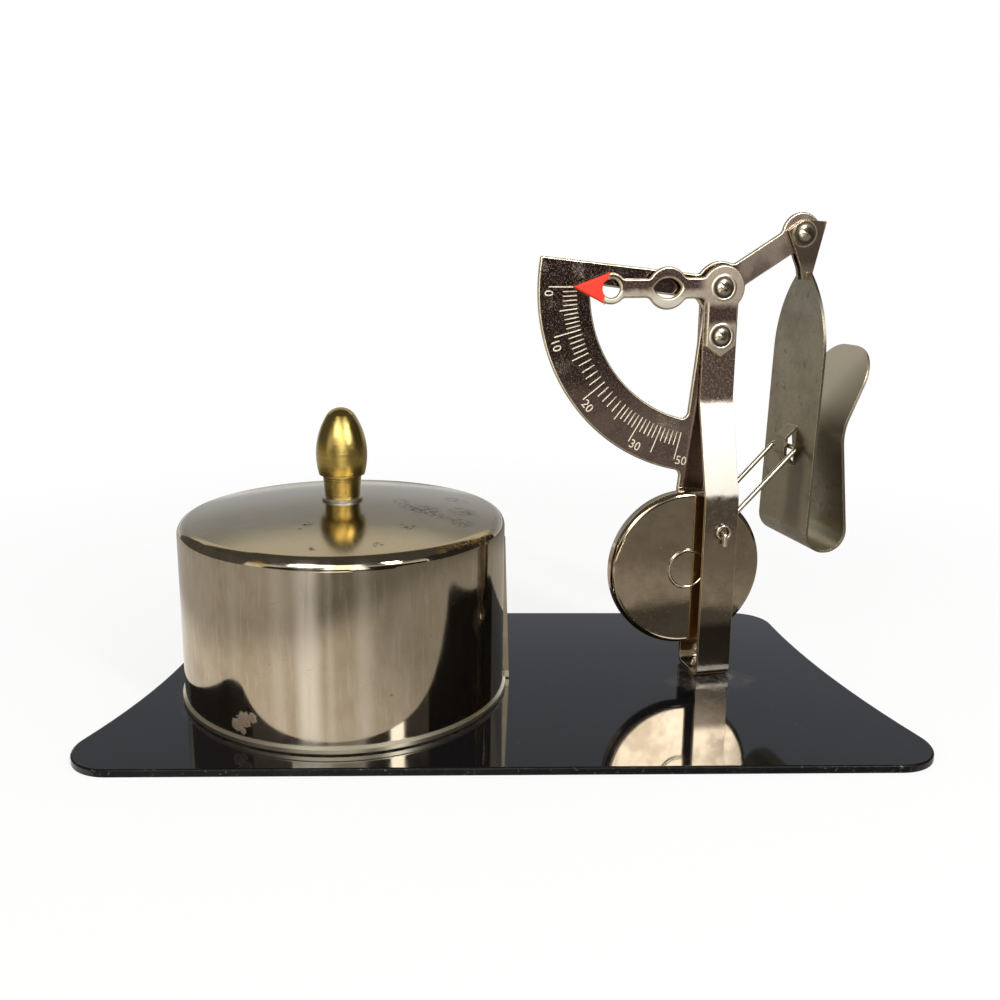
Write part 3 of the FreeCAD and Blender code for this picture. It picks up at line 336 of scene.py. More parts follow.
def drum_nickel():
    f = Finish("drum_nickel", (0.44, 0.365, 0.26), 0.06, 1.0, centre=DRUM)
    angle = f.angle()
    around = f.maths("MULTIPLY", angle, 0.61)
    drawn = add(f.tree, "ShaderNodeCombineXYZ", {0: around, 1: 0.0, 2: f.maths("MULTIPLY", f.z, 0.12)}).outputs[0]
    swirled = add(f.tree, "ShaderNodeCombineXYZ", {0: around, 1: 0.0, 2: f.maths("MULTIPLY", f.z, 0.45)}).outputs[0]
    f.lay(f.group(CLOUDS, Scale=0.06), colour=(0.39, 0.32, 0.22))
    f.lay(f.group(CLOUDS, Vector=swirled, Scale=0.09, Low=0.42, High=0.60), colour=(0.48, 0.405, 0.30), rough=0.10)
    # painted reflection: a broad and a narrow pale stripe, with fainter ones beside them, stand for bright streaks that
    # the side mirrors
    for middle, reach, soft, depth in ((-95.3, 3.2, 2.2, 0.85), (-88.5, 1.0, 1.2, 0.3), (-78.0, 2.4, 2.4, 0.4),
                                       (-105.0, 1.6, 2.4, 0.3), (-121.0, 1.5, 3.0, 0.3)):
        painted_reflection_column = f.group(ZONE, Value=angle, Low=middle - reach, High=middle + reach, Soft=soft)
        f.lay(f.all_of(painted_reflection_column, depth), colour=(0.80, 0.73, 0.61), rough=0.22)
    streaks = smooth_step(f.tree, noise(f.tree, drawn, 0.9, 4.0, 0.6), 0.52, 0.66)
    f.lay(f.all_of(streaks, 0.3), colour=(0.60, 0.54, 0.44), rough=0.14)
    # the lid is duller
    lid = smooth_step(f.tree, f.z, LID_EDGE - 0.3, LID_EDGE + 0.1)
    f.lay(lid, colour=(0.43, 0.36, 0.225), rough=0.13)
    f.lay(f.all_of(lid, f.group(CLOUDS, Scale=0.05)), colour=(0.46, 0.395, 0.27), rough=0.17)
    etched = smooth_step(f.tree, noise(f.tree, f.place, 0.9, 6.0, 0.75), 0.47, 0.53)
    flat = add(f.tree, "ShaderNodeCombineXYZ", {0: f.x, 1: f.y, 2: 0.0}).outputs[0]
    for x, y, radius, depth in SMUDGES:
        smudge = f.group(SPOT, Vector=flat, Centre=(x, y, 0.0), Radius=radius * 1.15, Ragged=0.2, Scale=0.6)
        f.lay(f.all_of(smudge, etched, lid, depth), colour=(0.06, 0.054, 0.04), rough=0.4)
    scratches = f.group(HAIRLINES, Scale=0.16, Width=0.004)
    f.lay(f.all_of(scratches, 0.45), colour=(0.24, 0.215, 0.16), rough=0.3)
    f.lay(f.all_of(f.group(PITS, Scale=0.7, Radius=0.08, Cover=0.46), 0.8), colour=(0.12, 0.10, 0.075), rough=0.4)
    # plating worn to the brass: a patch and a thin line at the rim, and along the bead
    rag = smooth_step(f.tree, noise(f.tree, f.place, 0.6, 4.0, 0.7), 0.46, 0.56)
    for low, high, middle, reach, depth in ((38.2, 39.2, -110.3, 2.6, 0.8), (38.9, 39.8, -38.0, 15.0, 0.9),
                                            (1.6, 3.4, -112.5, 3.0, 0.7), (1.5, 2.6, -34.0, 14.0, 0.6),
                                            (1.5, 2.2, -80.0, 50.0, 0.5)):
        height = f.group(ZONE, Value=f.z, Low=low, High=high, Soft=0.15)
        place = f.group(ZONE, Value=angle, Low=middle - reach, High=middle + reach, Soft=2.0)
        f.lay(f.all_of(height, place, rag, depth), colour=BRASS_BARE, rough=0.3)
    stain = f.all_of(f.group(ZONE, Value=angle, Low=-35.0, High=-30.5, Soft=1.2),
                     f.group(ZONE, Value=f.z, Low=17.0, High=37.0, Soft=3.0),
                     smooth_step(f.tree, noise(f.tree, drawn, 0.9, 5.0, 0.7), 0.46, 0.58))
    f.lay(f.all_of(stain, 0.7), colour=(0.20, 0.12, 0.05), rough=0.35)
    nick = f.group(SPOT, Centre=on_side(-69.7, 12.7), Radius=0.4, Ragged=0.2, Scale=2.0)
    f.lay(f.all_of(nick, 0.6), colour=(0.16, 0.13, 0.10), rough=0.5)
    bead = f.group(ZONE, Value=f.z, Low=1.4, High=3.3, Soft=0.2)
    f.lay(f.all_of(bead, 0.95), colour=(0.95, 0.85, 0.64), rough=0.3)
    # dried crust low on the side
    grain = noise(f.tree, f.place, 4.2, 5.0, 0.75)
    for azimuth, height, radius in ((-118.2, 6.6, 1.9), (-121.4, 5.2, 1.5), (-115.0, 7.3, 1.2), (-118.9, 4.3, 0.9)):
        crust = f.group(SPOT, Centre=on_side(azimuth, height), Radius=radius, Ragged=0.22, Scale=1.1)
        f.lay(f.all_of(crust, smooth_step(f.tree, grain, 0.38, 0.52)), colour=(0.16, 0.105, 0.065), rough=0.8,
              metal=0.3)
        f.lay(f.all_of(crust, smooth_step(f.tree, grain, 0.52, 0.6)), colour=(0.30, 0.20, 0.13), rough=0.9, metal=0.0)
        f.lay(f.all_of(crust, smooth_step(f.tree, grain, 0.60, 0.66)), colour=(0.55, 0.46, 0.37))
        f.raise_by(f.all_of(crust, grain), 2.0)
    f.raise_by(noise(f.tree, f.place, 0.06, 2.0, 0.4), 0.6)
    return f.done(0.05)


def balance_nickel(name, clean, aged, rough, hazy, speckled=0.5, **extra):
    """Ground for the balance's sheets: aged plating with pits and hairlines."""
    f = Finish(name, clean, rough, 1.0, centre=BALANCE, yaw=BALANCE_YAW)
    f.lay(f.group(CLOUDS, Scale=extra.get("patches", 0.16)), colour=aged, rough=hazy)
    f.lay(f.all_of(f.group(PITS, Scale=1.5, Radius=0.16, Cover=speckled), 0.8),
          colour=(0.10, 0.08, 0.06), rough=0.5)
    f.lay(f.all_of(f.group(HAIRLINES, Scale=0.5, Width=0.01), 0.6), colour=(0.66, 0.60, 0.50), rough=0.25)
    f.raise_by(noise(f.tree, f.place, 0.5, 3.0, 0.6), 0.5)
    return f


def stand_nickel():
    f = balance_nickel("stand_nickel", (0.45, 0.365, 0.26), (0.37, 0.295, 0.205), 0.09, 0.16)
    mottle = smooth_step(f.tree, noise(f.tree, f.place, 2.2, 5.0, 0.7), 0.5, 0.6)
    ragged = f.maths("ADD", f.z, f.maths("MULTIPLY", noise(f.tree, f.place, 0.6, 4.0, 0.6), 3.0))
    # painted reflections: dark above and below the bends, and between them a pale, rougher zone that is a painted
    # highlight
    above = smooth_step(f.tree, ragged, -24.5, -21.5)
    f.lay(above, colour=(0.33, 0.225, 0.18), rough=0.26)
    f.lay(f.all_of(above, mottle, 0.85), colour=(0.66, 0.53, 0.44), rough=0.34)
    bright = f.group(ZONE, Value=ragged, Low=-43.8, High=-23.4, Soft=1.7)
    f.lay(bright, colour=(0.62, 0.59, 0.52), rough=0.42)
    f.lay(f.all_of(bright, mottle, 0.3), colour=(0.50, 0.46, 0.38), rough=0.5)
    below = f.group(ZONE, Value=ragged, Low=-51.5, High=-43.8, Soft=1.8)
    f.lay(f.all_of(below, 0.8), colour=(0.20, 0.14, 0.11), rough=0.2)
    f.lay(f.all_of(below, mottle, 0.4), colour=(0.55, 0.47, 0.38), rough=0.35)
    # painted reflection: the foot is near black where it mirrors the black plate
    foot = smooth_step(f.tree, f.z, -72.5, -75.0)
    f.lay(f.all_of(foot, 0.85), colour=(0.07, 0.052, 0.038), rough=0.12)
    # painted highlight: a pale line along the foot's bend
    bend_highlight = f.group(ZONE, Value=f.z, Low=-84.9, High=-83.6, Soft=0.3)
    f.lay(f.all_of(bend_highlight, 0.8), colour=(0.80, 0.74, 0.60), rough=0.35)
    grime = smooth_step(f.tree, f.z, -81.5, -84.0)
    f.lay(f.all_of(grime, mottle, 0.25), colour=DUST, rough=0.75, metal=0.2)
    # the inner side of the front leg, which the weight mirrors; its pale brown is painted light, as little light
    # reaches it
    inner = f.all_of(smooth_step(f.tree, f.y, -5.35, -5.1), smooth_step(f.tree, f.y, -1.0, -2.0),
                     smooth_step(f.tree, f.z, -44.0, -47.0))
    f.lay(f.all_of(inner, 0.85), colour=(0.86, 0.60, 0.34), rough=0.5)
    return f.done(0.02)


def pointer_nickel():
    f = balance_nickel("pointer_nickel", (0.74, 0.63, 0.50), (0.60, 0.49, 0.38), 0.36, 0.42)
    mottle = smooth_step(f.tree, noise(f.tree, f.place, 2.6, 5.0, 0.7), 0.5, 0.58)
    # browned along the upper side of the arm and between the rivets
    drift = f.maths("ADD", f.z, f.maths("MULTIPLY", noise(f.tree, f.place, 0.5, 4.0, 0.6), 2.0))
    upper = f.all_of(smooth_step(f.tree, drift, 0.0, 1.4), smooth_step(f.tree, f.x, -3.5, -6.5))
    between = f.group(ZONE, Value=drift, Low=-6.4, High=-2.8, Soft=1.0)
    for brown in (upper, between):
        f.lay(f.all_of(brown, 0.92), colour=(0.20, 0.115, 0.10), rough=0.24)
    f.lay(f.all_of(mottle, 0.5), colour=(0.45, 0.34, 0.275), rough=0.36)
    lower = f.all_of(smooth_step(f.tree, drift, 0.3, -1.6), smooth_step(f.tree, f.x, -4.0, -8.0))
    f.lay(f.all_of(lower, 0.8), colour=(0.94, 0.90, 0.78), rough=0.42)
    for z in (0.0, -RIVET_DROP):
        dish = f.group(ZONE, Value=f.from_line(0.0, z), Low=2.25, High=2.75, Soft=0.2)
        f.lay(f.all_of(dish, 0.7), colour=(0.88, 0.80, 0.64), rough=0.34)
        f.raise_by(dish, 6.0)
    redden_tip(f)
    return f.done(0.02)


def redden_tip(f):
    """Red paint on the front of the pointer's tip."""
    slant = f.maths("SUBTRACT", f.x, f.maths("MULTIPLY", f.z, 0.21))
    ragged = f.maths("ADD", slant, f.maths("MULTIPLY", noise(f.tree, f.place, 1.6), 0.7))
    tip = smooth_step(f.tree, ragged, -25.82, -26.02)
    face = smooth_step(f.tree, f.y, -0.35, -0.45)
    f.lay(f.all_of(tip, face), colour=(0.80, 0.024, 0.003), rough=0.4, metal=0.0)
    rubbed = smooth_step(f.tree, noise(f.tree, f.place, 1.1, 4.0, 0.65), 0.60, 0.70)
    f.lay(f.all_of(tip, face, rubbed, 0.4), colour=(0.86, 0.09, 0.03), rough=0.5)


def dial_nickel():
    f = balance_nickel("dial_nickel", (0.38, 0.285, 0.235), (0.28, 0.20, 0.17), 0.09, 0.16, speckled=0.6)
    mottle = smooth_step(f.tree, noise(f.tree, f.place, 2.8, 5.0, 0.75), 0.52, 0.59)
    f.lay(f.all_of(mottle, 0.75), colour=(0.62, 0.46, 0.40), rough=0.3)
    arm = smooth_step(f.tree, f.x, 2.0, 5.0)
    f.lay(f.all_of(arm, 0.8), colour=(0.56, 0.455, 0.36), rough=0.34)
    worn = f.all_of(arm, smooth_step(f.tree, noise(f.tree, f.place, 0.22, 3.0, 0.55), 0.40, 0.66))
    f.lay(f.all_of(worn, 0.7), colour=(0.34, 0.25, 0.205), rough=0.26)
    # rubbed patches: by the first marks, by the last ones, and a faint ring below the tens
    for x, z, radius, depth in ((-31.6, 3.9, 2.0, 0.6), (-10.3, -30.4, 3.4, 0.7), (-12.6, -28.6, 2.0, 0.6),
                                (-35.0, -16.1, 2.3, 0.35), (-37.6, -3.2, 1.2, 0.3), (-38.9, 4.4, 1.2, 0.5)):
        rub = f.group(SPOT, Centre=(x, BEAM_FRONT, z), Radius=radius, Ragged=0.45, Scale=1.0)
        f.lay(f.all_of(rub, f.maths("ADD", f.maths("MULTIPLY", mottle, 0.5), 0.5), depth),
              colour=(0.68, 0.60, 0.49), rough=0.42)
    from_pivot = f.from_line(0.0, 0.0)
    rim = f.group(ZONE, Value=from_pivot, Low=40.1, High=40.7, Soft=0.1)
    f.lay(f.all_of(rim, smooth_step(f.tree, f.x, -8.0, -9.0), 0.85), colour=(0.72, 0.64, 0.44), rough=0.3)
    cut = smooth_step(f.tree, f.y, BEAM_FRONT + 0.03, BEAM_FRONT + 0.08)
    scale_ring = f.group(ZONE, Value=from_pivot, Low=MARKS[0], High=MARKS[1], Soft=0.05)
    below = smooth_step(f.tree, f.z, 1.0, 0.6)
    not_back = smooth_step(f.tree, f.y, BEAM_FRONT + 0.5, BEAM_FRONT + 0.3)
    f.lay(f.all_of(cut, scale_ring, below, not_back), colour=CREAM, rough=0.5, metal=0.15)
    return f.done(0.02)


def weight_nickel():
    f = balance_nickel("weight_nickel", (0.47, 0.385, 0.275), (0.38, 0.30, 0.205), 0.075, 0.13, patches=0.09)
    # painted highlight: a pale ring on the boss's raised edge, over a bump
    boss = f.group(ZONE, Value=f.from_line(*WEIGHT_CENTRE), Low=3.95, High=4.45, Soft=0.15)
    f.lay(f.all_of(boss, 0.8), colour=(0.84, 0.75, 0.52), rough=0.25)
    f.raise_by(boss, 8.0)
    return f.done(0.02)


def clip_nickel():
    f = Finish("clip_nickel", (0.30, 0.255, 0.18), 0.27, 1.0, centre=BALANCE, yaw=BALANCE_YAW)
    f.lay(f.group(CLOUDS, Scale=0.10), colour=(0.265, 0.225, 0.155), rough=0.36)
    brushed = add(f.tree, "ShaderNodeVectorMath", {0: f.place, 1: (1.0, 6.0, 0.35)}, operation="MULTIPLY").outputs[0]
    grain = noise(f.tree, brushed, 1.6, 4.0, 0.7)
    f.lay(f.all_of(smooth_step(f.tree, grain, 0.45, 0.7), 0.4), colour=(0.37, 0.325, 0.24), rough=0.22)
    f.lay(f.all_of(f.group(PITS, Scale=0.9, Radius=0.16, Cover=0.5), 0.75), colour=(0.09, 0.08, 0.065), rough=0.5)
    f.lay(f.all_of(f.group(CLOUDS, Scale=0.5, Low=0.56, High=0.66), 0.6), colour=(0.16, 0.14, 0.11), rough=0.5)
    flecks = smooth_step(f.tree, noise(f.tree, brushed, 1.1, 5.0, 0.75), 0.58, 0.64)
    amid = f.all_of(f.group(ZONE, Value=f.z, Low=-30.0, High=-16.0, Soft=4.0), flecks)
    f.lay(f.all_of(amid, 0.7), colour=(0.12, 0.10, 0.075), rough=0.5)
    # the ear is brown round its rivet, and the upper lobe of the second leaf is paler
    ear = smooth_step(f.tree, f.z, 3.0, 6.0)
    f.lay(f.all_of(ear, 0.8), colour=(0.22, 0.155, 0.12), rough=0.24)
    dish = f.group(ZONE, Value=f.from_line(*CLIP_RIVET), Low=2.3, High=2.9, Soft=0.2)
    f.lay(f.all_of(dish, ear, 0.8), colour=(0.70, 0.62, 0.42), rough=0.3)
    lobe = f.all_of(smooth_step(f.tree, f.x, 22.5, 24.0), smooth_step(f.tree, f.z, -34.0, -22.0))
    f.lay(f.all_of(lobe, 0.9), colour=(0.86, 0.76, 0.57), rough=0.4)
    trough = f.all_of(smooth_step(f.tree, f.z, -50.5, -54.5), smooth_step(f.tree, f.x, 21.5, 22.5))
    f.lay(f.all_of(trough, 0.8), colour=(0.52, 0.46, 0.32), rough=0.4)
    f.lay(f.all_of(trough, flecks, 0.7), colour=(0.14, 0.11, 0.08), rough=0.5)
    # painted shadow: a dark band down the leaf below the bridge
    band = f.all_of(f.group(ZONE, Value=f.y, Low=-5.8, High=0.5, Soft=1.6),
                    f.group(ZONE, Value=f.z, Low=-53.0, High=-36.0, Soft=3.5), smooth_step(f.tree, f.x, 21.5, 20.5))
    f.lay(f.all_of(band, 0.75), colour=(0.14, 0.105, 0.075), rough=0.35)
    f.raise_by(grain, 0.4)
    return f.done(0.02)


def small_nickel(name, colour, rough, centre):
    """For rivets, washers and the wire."""
    f = Finish(name, colour, rough, 1.0, centre=centre)
    f.lay(f.group(CLOUDS, Scale=0.5), colour=tuple(c * 0.82 for c in colour), rough=rough + 0.08)
    f.lay(f.all_of(f.group(PITS, Scale=2.4, Radius=0.18, Cover=0.5), 0.7), colour=(0.14, 0.12, 0.09), rough=0.4)
    f.raise_by(noise(f.tree, f.place, 1.2), 0.4)
    return f.done(0.02)


def edge_wear_and_highlight():
    """Punched edges, rubbed pale, and made paler still as a painted highlight."""
    f = Finish("edge_wear_and_highlight", (0.90, 0.83, 0.62), 0.32, 1.0, centre=BALANCE, yaw=BALANCE_YAW)
    f.lay(f.group(CLOUDS, Scale=0.3), colour=(0.66, 0.57, 0.38), rough=0.4)
    f.lay(f.all_of(f.group(PITS, Scale=2.0, Radius=0.16, Cover=0.5), 0.6), colour=(0.12, 0.09, 0.06), rough=0.5)
    redden_tip(f)
    return f.done()


def rivet_nickel():
    """Domes rubbed bright at the top, with painted shade in a dark ring round their foot."""
    f = balance_nickel("rivet_nickel", (0.66, 0.60, 0.48), (0.54, 0.48, 0.37), 0.16, 0.24)
    for x, z in ((0.0, 0.0), (0.0, -RIVET_DROP), CLIP_RIVET):
        away = f.from_line(x, z)
        # painted shade: a dark ring where each dome meets the sheet
        foot = f.group(ZONE, Value=away, Low=1.55, High=2.6, Soft=0.25)
        f.lay(f.all_of(foot, 0.9), colour=(0.10, 0.075, 0.05), rough=0.3)
    return f.done(0.02)


def plain_steel():
    f = Finish("plain_steel", (0.42, 0.41, 0.39), 0.38, 1.0, centre=DRUM)
    f.lay(f.group(CLOUDS, Scale=0.08), colour=(0.33, 0.32, 0.30), rough=0.46)
    f.lay(f.group(PITS, Scale=0.8, Radius=0.14, Cover=0.5), colour=(0.15, 0.11, 0.08), rough=0.6)
    f.raise_by(noise(f.tree, f.place, 1.0, 4.0, 0.6), 0.5)
    return f.done(0.02)


def turned_brass():
    f = Finish("turned_brass", (0.60, 0.45, 0.15), 0.17, 1.0, centre=KNOB)
    rings = add(f.tree, "ShaderNodeCombineXYZ", {0: 0.0, 1: 0.0, 2: f.z}).outputs[0]
    fine = noise(f.tree, rings, 6.0, 4.0, 0.8)
    f.lay(smooth_step(f.tree, fine, 0.46, 0.6), colour=(0.36, 0.25, 0.065), rough=0.24)
    f.lay(f.all_of(f.group(CLOUDS, Scale=0.22), 0.4), colour=(0.36, 0.25, 0.065), rough=0.24)
    for level in (3.9, 4.4, 5.3):
        groove = f.group(ZONE, Value=f.z, Low=level - 0.07, High=level + 0.07, Soft=0.05)
        f.lay(f.all_of(groove, 0.7), colour=(0.16, 0.10, 0.025), rough=0.3)
        f.raise_by(groove, -2.0)
    f.lay(f.all_of(f.group(PITS, Scale=1.6, Radius=0.12, Cover=0.45), 0.7), colour=(0.13, 0.08, 0.02))
    f.raise_by(fine, 1.0)
    return f.done(0.04)


def dial_cream():
    f = Finish("dial_cream", CREAM, 0.5, 0.1, centre=BALANCE, yaw=BALANCE_YAW)
    f.lay(smooth_step(f.tree, noise(f.tree, f.place, 2.6, 4.0, 0.7), 0.5, 0.6), colour=(0.42, 0.35, 0.26))
    return f.done()


# Pieces

def assign(piece, material):
    piece.data.materials.clear()
    piece.data.materials.append(material)


def rounded_copy(node, name, body, slot, materials, width, front=None, left_sharp=None):
    """A sheet-metal node with its punched edges broken, standing for the plain one.

    Its faces take the first material and its broken edges the second. Edges that lie nearer than front, measured back from the stand's face, take the whole width
    and the others a quarter of it; without front, all edges take the whole width."""
    bpy.ops.object.select_all(action="DESELECT")
    source = frame["nodes"][node]
    source.select_set(True)
    bpy.context.view_layer.objects.active = source
    bpy.ops.object.duplicate()
    piece = bpy.context.active_object
    piece.name = name
    piece.data.name = name
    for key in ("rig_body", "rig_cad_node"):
        del piece[key]
    piece.parent = None
    piece.data.materials.clear()
    for material in materials:
        piece.data.materials.append(material)
    bpy.context.view_layer.objects.active = piece
    bpy.ops.object.mode_set(mode="EDIT")
    bpy.ops.mesh.select_all(action="SELECT")
    bpy.ops.mesh.remove_doubles(threshold=0.002 * MM)
    bpy.ops.mesh.dissolve_limited(angle_limit=math.radians(1.0))
    bpy.ops.object.mode_set(mode="OBJECT")
    shape = bmesh.new()
    shape.from_mesh(piece.data)
    weights = shape.edges.layers.float.new("bevel_weight_edge")
    for edge in shape.edges:
        if len(edge.link_faces) == 2 and edge.calc_face_angle(0.0) > math.radians(40.0):
            sharp = left_sharp is not None and left_sharp(edge)
            behind = front is not None and min(on_balance(v.co).y for v in edge.verts) > front
            edge[weights] = 0.0 if sharp else 0.25 if behind else 1.0
    shape.to_mesh(piece.data)
    shape.free()
    bevel = piece.modifiers.new("broken edges", "BEVEL")
    bevel.limit_method = "WEIGHT"
    bevel.width = width * MM
    bevel.segments = 3
    bevel.material = 1
    bevel.use_clamp_overlap = front is None
    bpy.ops.object.modifier_apply(modifier=bevel.name)
    bpy.ops.object.shade_smooth_by_angle(angle=math.radians(50.0))
    lean = piece.modifiers.new("flat faces kept flat", "WEIGHTED_NORMAL")
    lean.keep_sharp = True
    lean.weight = 100
    bpy.ops.object.modifier_apply(modifier=lean.name)
    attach(piece, body)
    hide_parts(node)
    return piece


def on_balance(point):
    """A point of the frame in the balance's own directions, in millimetres."""
    turn = Matrix.Rotation(-BALANCE_YAW, 3, "Z")
    return turn @ (Vector(point) / MM - Vector(BALANCE))


def in_marks(edge):
    """True for the edges of the marks cut into the dial."""
    for vertex in edge.verts:
        place = on_balance(vertex.co)
        radius = math.hypot(place.x, place.z)
        if not (MARKS[0] < radius < MARKS[1] and place.z < 0.9 and place.y < BEAM_FRONT + 0.2):
            return False
    return True


def dial_number(text, angle_deg, radius, height, material):
    """One number on the dial, its foot along the arc and its top towards the pivot."""
    bpy.ops.object.select_all(action="DESELECT")
    bpy.ops.object.text_add()
    piece = bpy.context.active_object
    piece.data.body = text
    piece.data.size = height * MM / 0.7
    piece.data.align_x = "CENTER"
    piece.data.align_y = "CENTER"
    piece.data.extrude = 0.012 * MM
    piece.data.resolution_u = 3
    bpy.ops.object.convert(target="MESH")
    angle = math.radians(angle_deg)
    place = (Matrix.Translation(Vector(BALANCE) * MM) @ Matrix.Rotation(BALANCE_YAW, 4, "Z")
             @ Matrix.Translation((radius * MM * math.cos(angle), (BEAM_FRONT - 0.01) * MM,
                                   radius * MM * math.sin(angle)))
             @ Matrix.Rotation(-(angle + math.pi / 2), 4, "Y") @ Matrix.Rotation(math.pi / 2, 4, "X"))
    piece.data.transform(place)
    piece.name = "dial_number_" + text
    piece.data.name = piece.name
    assign(piece, material)
    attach(piece, "beam")
    return piece


def wire_curl():
    """The front end of the wire, curled once round the hole in the stand."""
    bpy.ops.object.select_all(action="DESELECT")
    bpy.ops.mesh.primitive_torus_add(major_radius=1.5 * MM, minor_radius=0.34 * MM, major_segments=40,
                                     minor_segments=12)
    bpy.ops.object.shade_smooth()
    piece = bpy.context.active_object
    piece.data.transform(Matrix.Translation(Vector(BALANCE) * MM) @ Matrix.Rotation(BALANCE_YAW, 4, "Z")
                         @ Matrix.Translation((WIRE_HOLE[0] * MM, -5.95 * MM, WIRE_HOLE[1] * MM))
                         @ Matrix.Rotation(math.pi / 2, 4, "X"))
    piece.name = "wire_curl"
    piece.data.name = piece.name
    assign(piece, frame["nodes"]["wire_link"].data.materials[0])
    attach(piece, "link")


def dress():
    """Give every piece its finish."""
    rivets = rivet_nickel()
    steel = plain_steel()
    finishes = {
        "base_plate": lacquer(), "drum_cover": drum_nickel(), "drum_seat": steel, "knob_screw": steel,
        "seat_rivet_1": steel, "seat_rivet_2": steel, "seat_rivet_3": steel,
        "drum_knob": turned_brass(),
        "knob_washer": small_nickel("washer_nickel", (0.62, 0.60, 0.55), 0.35, KNOB),
        "stand_rivet": rivets, "pivot_rivet": rivets, "pointer_rivet": rivets, "clip_rivet": rivets,
        "clip_washer": rivets, "wire_link": small_nickel("wire_nickel", (0.78, 0.72, 0.57), 0.22, BALANCE)}
    for node, material in finishes.items():
        assign(frame["nodes"][node], material)
    weight = weight_nickel()
    assign(frame["nodes"]["weight_disc"], weight)
    assign(frame["nodes"]["weight_rivet"], weight)
    sheets = (
        ("balance_stand", "stand_strip", "stand", "stand_nickel", 0.2, None, None, stand_nickel()),
        ("pointer_plate", "pointer_sheet", "stand", "pointer_nickel", 0.42, -0.4, None, pointer_nickel()),
        ("pendulum_plate", "dial_sheet", "beam", "dial_nickel", 0.34, BEAM_FRONT + 0.3, in_marks, dial_nickel()),
        ("letter_clip", "clip_strip", "clip", "clip_nickel", 0.14, None, None, clip_nickel()))
    edges = edge_wear_and_highlight()
    for node, name, body, slot, width, front, keep, material in sheets:
        rounded_copy(node, name, body, slot, (material, edges), width, front, keep)
    wire_curl()
    cream = dial_cream()
    for text, angle in NUMBERS:
        dial_number(text, angle, 38.3, 1.9, cream)


# Stage

def stage_material(name, colour):
    material = bpy.data.materials.new(name)
    material.use_nodes = True
    shader = material.node_tree.nodes["Principled BSDF"]
    shader.inputs["Base Color"].default_value = (*colour, 1.0)
    shader.inputs["Roughness"].default_value = 0.9
    shader.inputs["Specular IOR Level"].default_value = 0.1
    return material


def seen_directly(tree):
    """One where the camera sees a surface, or metal or gloss shows it."""
    path = add(tree, "ShaderNodeLightPath")
    return maths(tree, "MAXIMUM", path.outputs["Is Camera Ray"],
                 maths(tree, "MAXIMUM", path.outputs["Is Glossy Ray"], path.outputs["Is Transmission Ray"]))


def sweep():
    """Pale floor that curves up into a far wall all round."""
    bpy.ops.object.select_all(action="DESELECT")
    bpy.ops.mesh.primitive_circle_add(vertices=96, radius=2.6, fill_type="NGON")
    floor = bpy.context.active_object
    floor.name = "sweep"
    bpy.ops.object.mode_set(mode="EDIT")
    bpy.ops.mesh.select_all(action="SELECT")
    for radius, before, height in ((2.9, 2.6, 0.08), (3.05, 2.9, 0.25), (3.1, 3.05, 0.97)):
        bpy.ops.mesh.region_to_loop()
        bpy.ops.mesh.extrude_edges_move()
        step = radius / before
        bpy.ops.transform.resize(value=(step, step, 1.0))
        level = {0.08: 0.08, 0.25: 0.17, 0.97: 0.72}[height]
        bpy.ops.transform.translate(value=(0.0, 0.0, level))
    bpy.ops.object.mode_set(mode="OBJECT")
    bpy.ops.object.shade_smooth()
    material = stage_material("pale_floor", (0.93, 0.93, 0.93))
    tree = material.node_tree
    shader = tree.nodes["Principled BSDF"]
    out = tree.nodes["Material Output"]
    seen = seen_directly(tree)
    coordinates = add(tree, "ShaderNodeTexCoord")
    away = add(tree, "ShaderNodeVectorMath", {0: coordinates.outputs["Object"]}, operation="LENGTH").outputs["Value"]
    far = maths(tree, "ADD", maths(tree, "MULTIPLY", smooth_step(tree, away, 0.12, 0.30), 0.2), 0.8)
    white = add(tree, "ShaderNodeEmission", {"Color": (1.0, 1.0, 1.0), "Strength": 1.0})
    mix = add(tree, "ShaderNodeMixShader", {0: maths(tree, "MULTIPLY", seen, far), 1: shader.outputs[0],
                                            2: white.outputs[0]})
    tree.links.new(mix.outputs[0], out.inputs["Surface"])
    assign(floor, material)


def card(name, tint, near, far, start, end, upwards, right=1.0):
    """Make the active plane a studio card that only the shine of the metal and the lacquer shows.

    Its light goes from near to far as the height, or the distance from the object, passes from
    start to end; to the right of the drum, the light is only its right share."""
    piece = bpy.context.active_object
    piece.name = name
    for ray in ("camera", "diffuse", "transmission", "volume_scatter", "shadow"):
        setattr(piece, "visible_" + ray, False)
    material = bpy.data.materials.new(name)
    material.use_nodes = True
    tree = material.node_tree
    tree.nodes.remove(tree.nodes["Principled BSDF"])
    place = add(tree, "ShaderNodeTexCoord").outputs["Object"]
    if upwards:
        measure = add(tree, "ShaderNodeSeparateXYZ", {0: place}).outputs[2]
    else:
        measure = add(tree, "ShaderNodeVectorMath", {0: place}, operation="LENGTH").outputs["Value"]
    across = add(tree, "ShaderNodeSeparateXYZ", {0: place}).outputs[0]
    close, distant = (
        maths(tree, "ADD", maths(tree, "MULTIPLY", smooth_step(tree, across, west, east), (right - 1.0) * level), level)
        for level, west, east in ((near, -0.05, 0.03), (far, -0.10, -0.03)))
    passed = smooth_step(tree, measure, start, end)
    level = maths(tree, "ADD", maths(tree, "MULTIPLY", passed, maths(tree, "SUBTRACT", distant, close)), close)
    glow = add(tree, "ShaderNodeEmission", {"Color": tint, "Strength": level})
    tree.links.new(glow.outputs[0], tree.nodes["Material Output"].inputs["Surface"])
    assign(piece, material)


def standing_card(name, size, centre, direction, tint, near, far, start=0.1, end=0.2, upwards=True):
    bpy.ops.object.select_all(action="DESELECT")
    bpy.ops.mesh.primitive_plane_add(size=1.0)
    piece = bpy.context.active_object
    piece.data.transform(Matrix.Translation(centre) @ facing(direction).to_4x4()
                         @ Matrix.Diagonal((size[0], size[1], 1.0, 1.0)))
    card(name, tint, near, far, start, end, upwards)


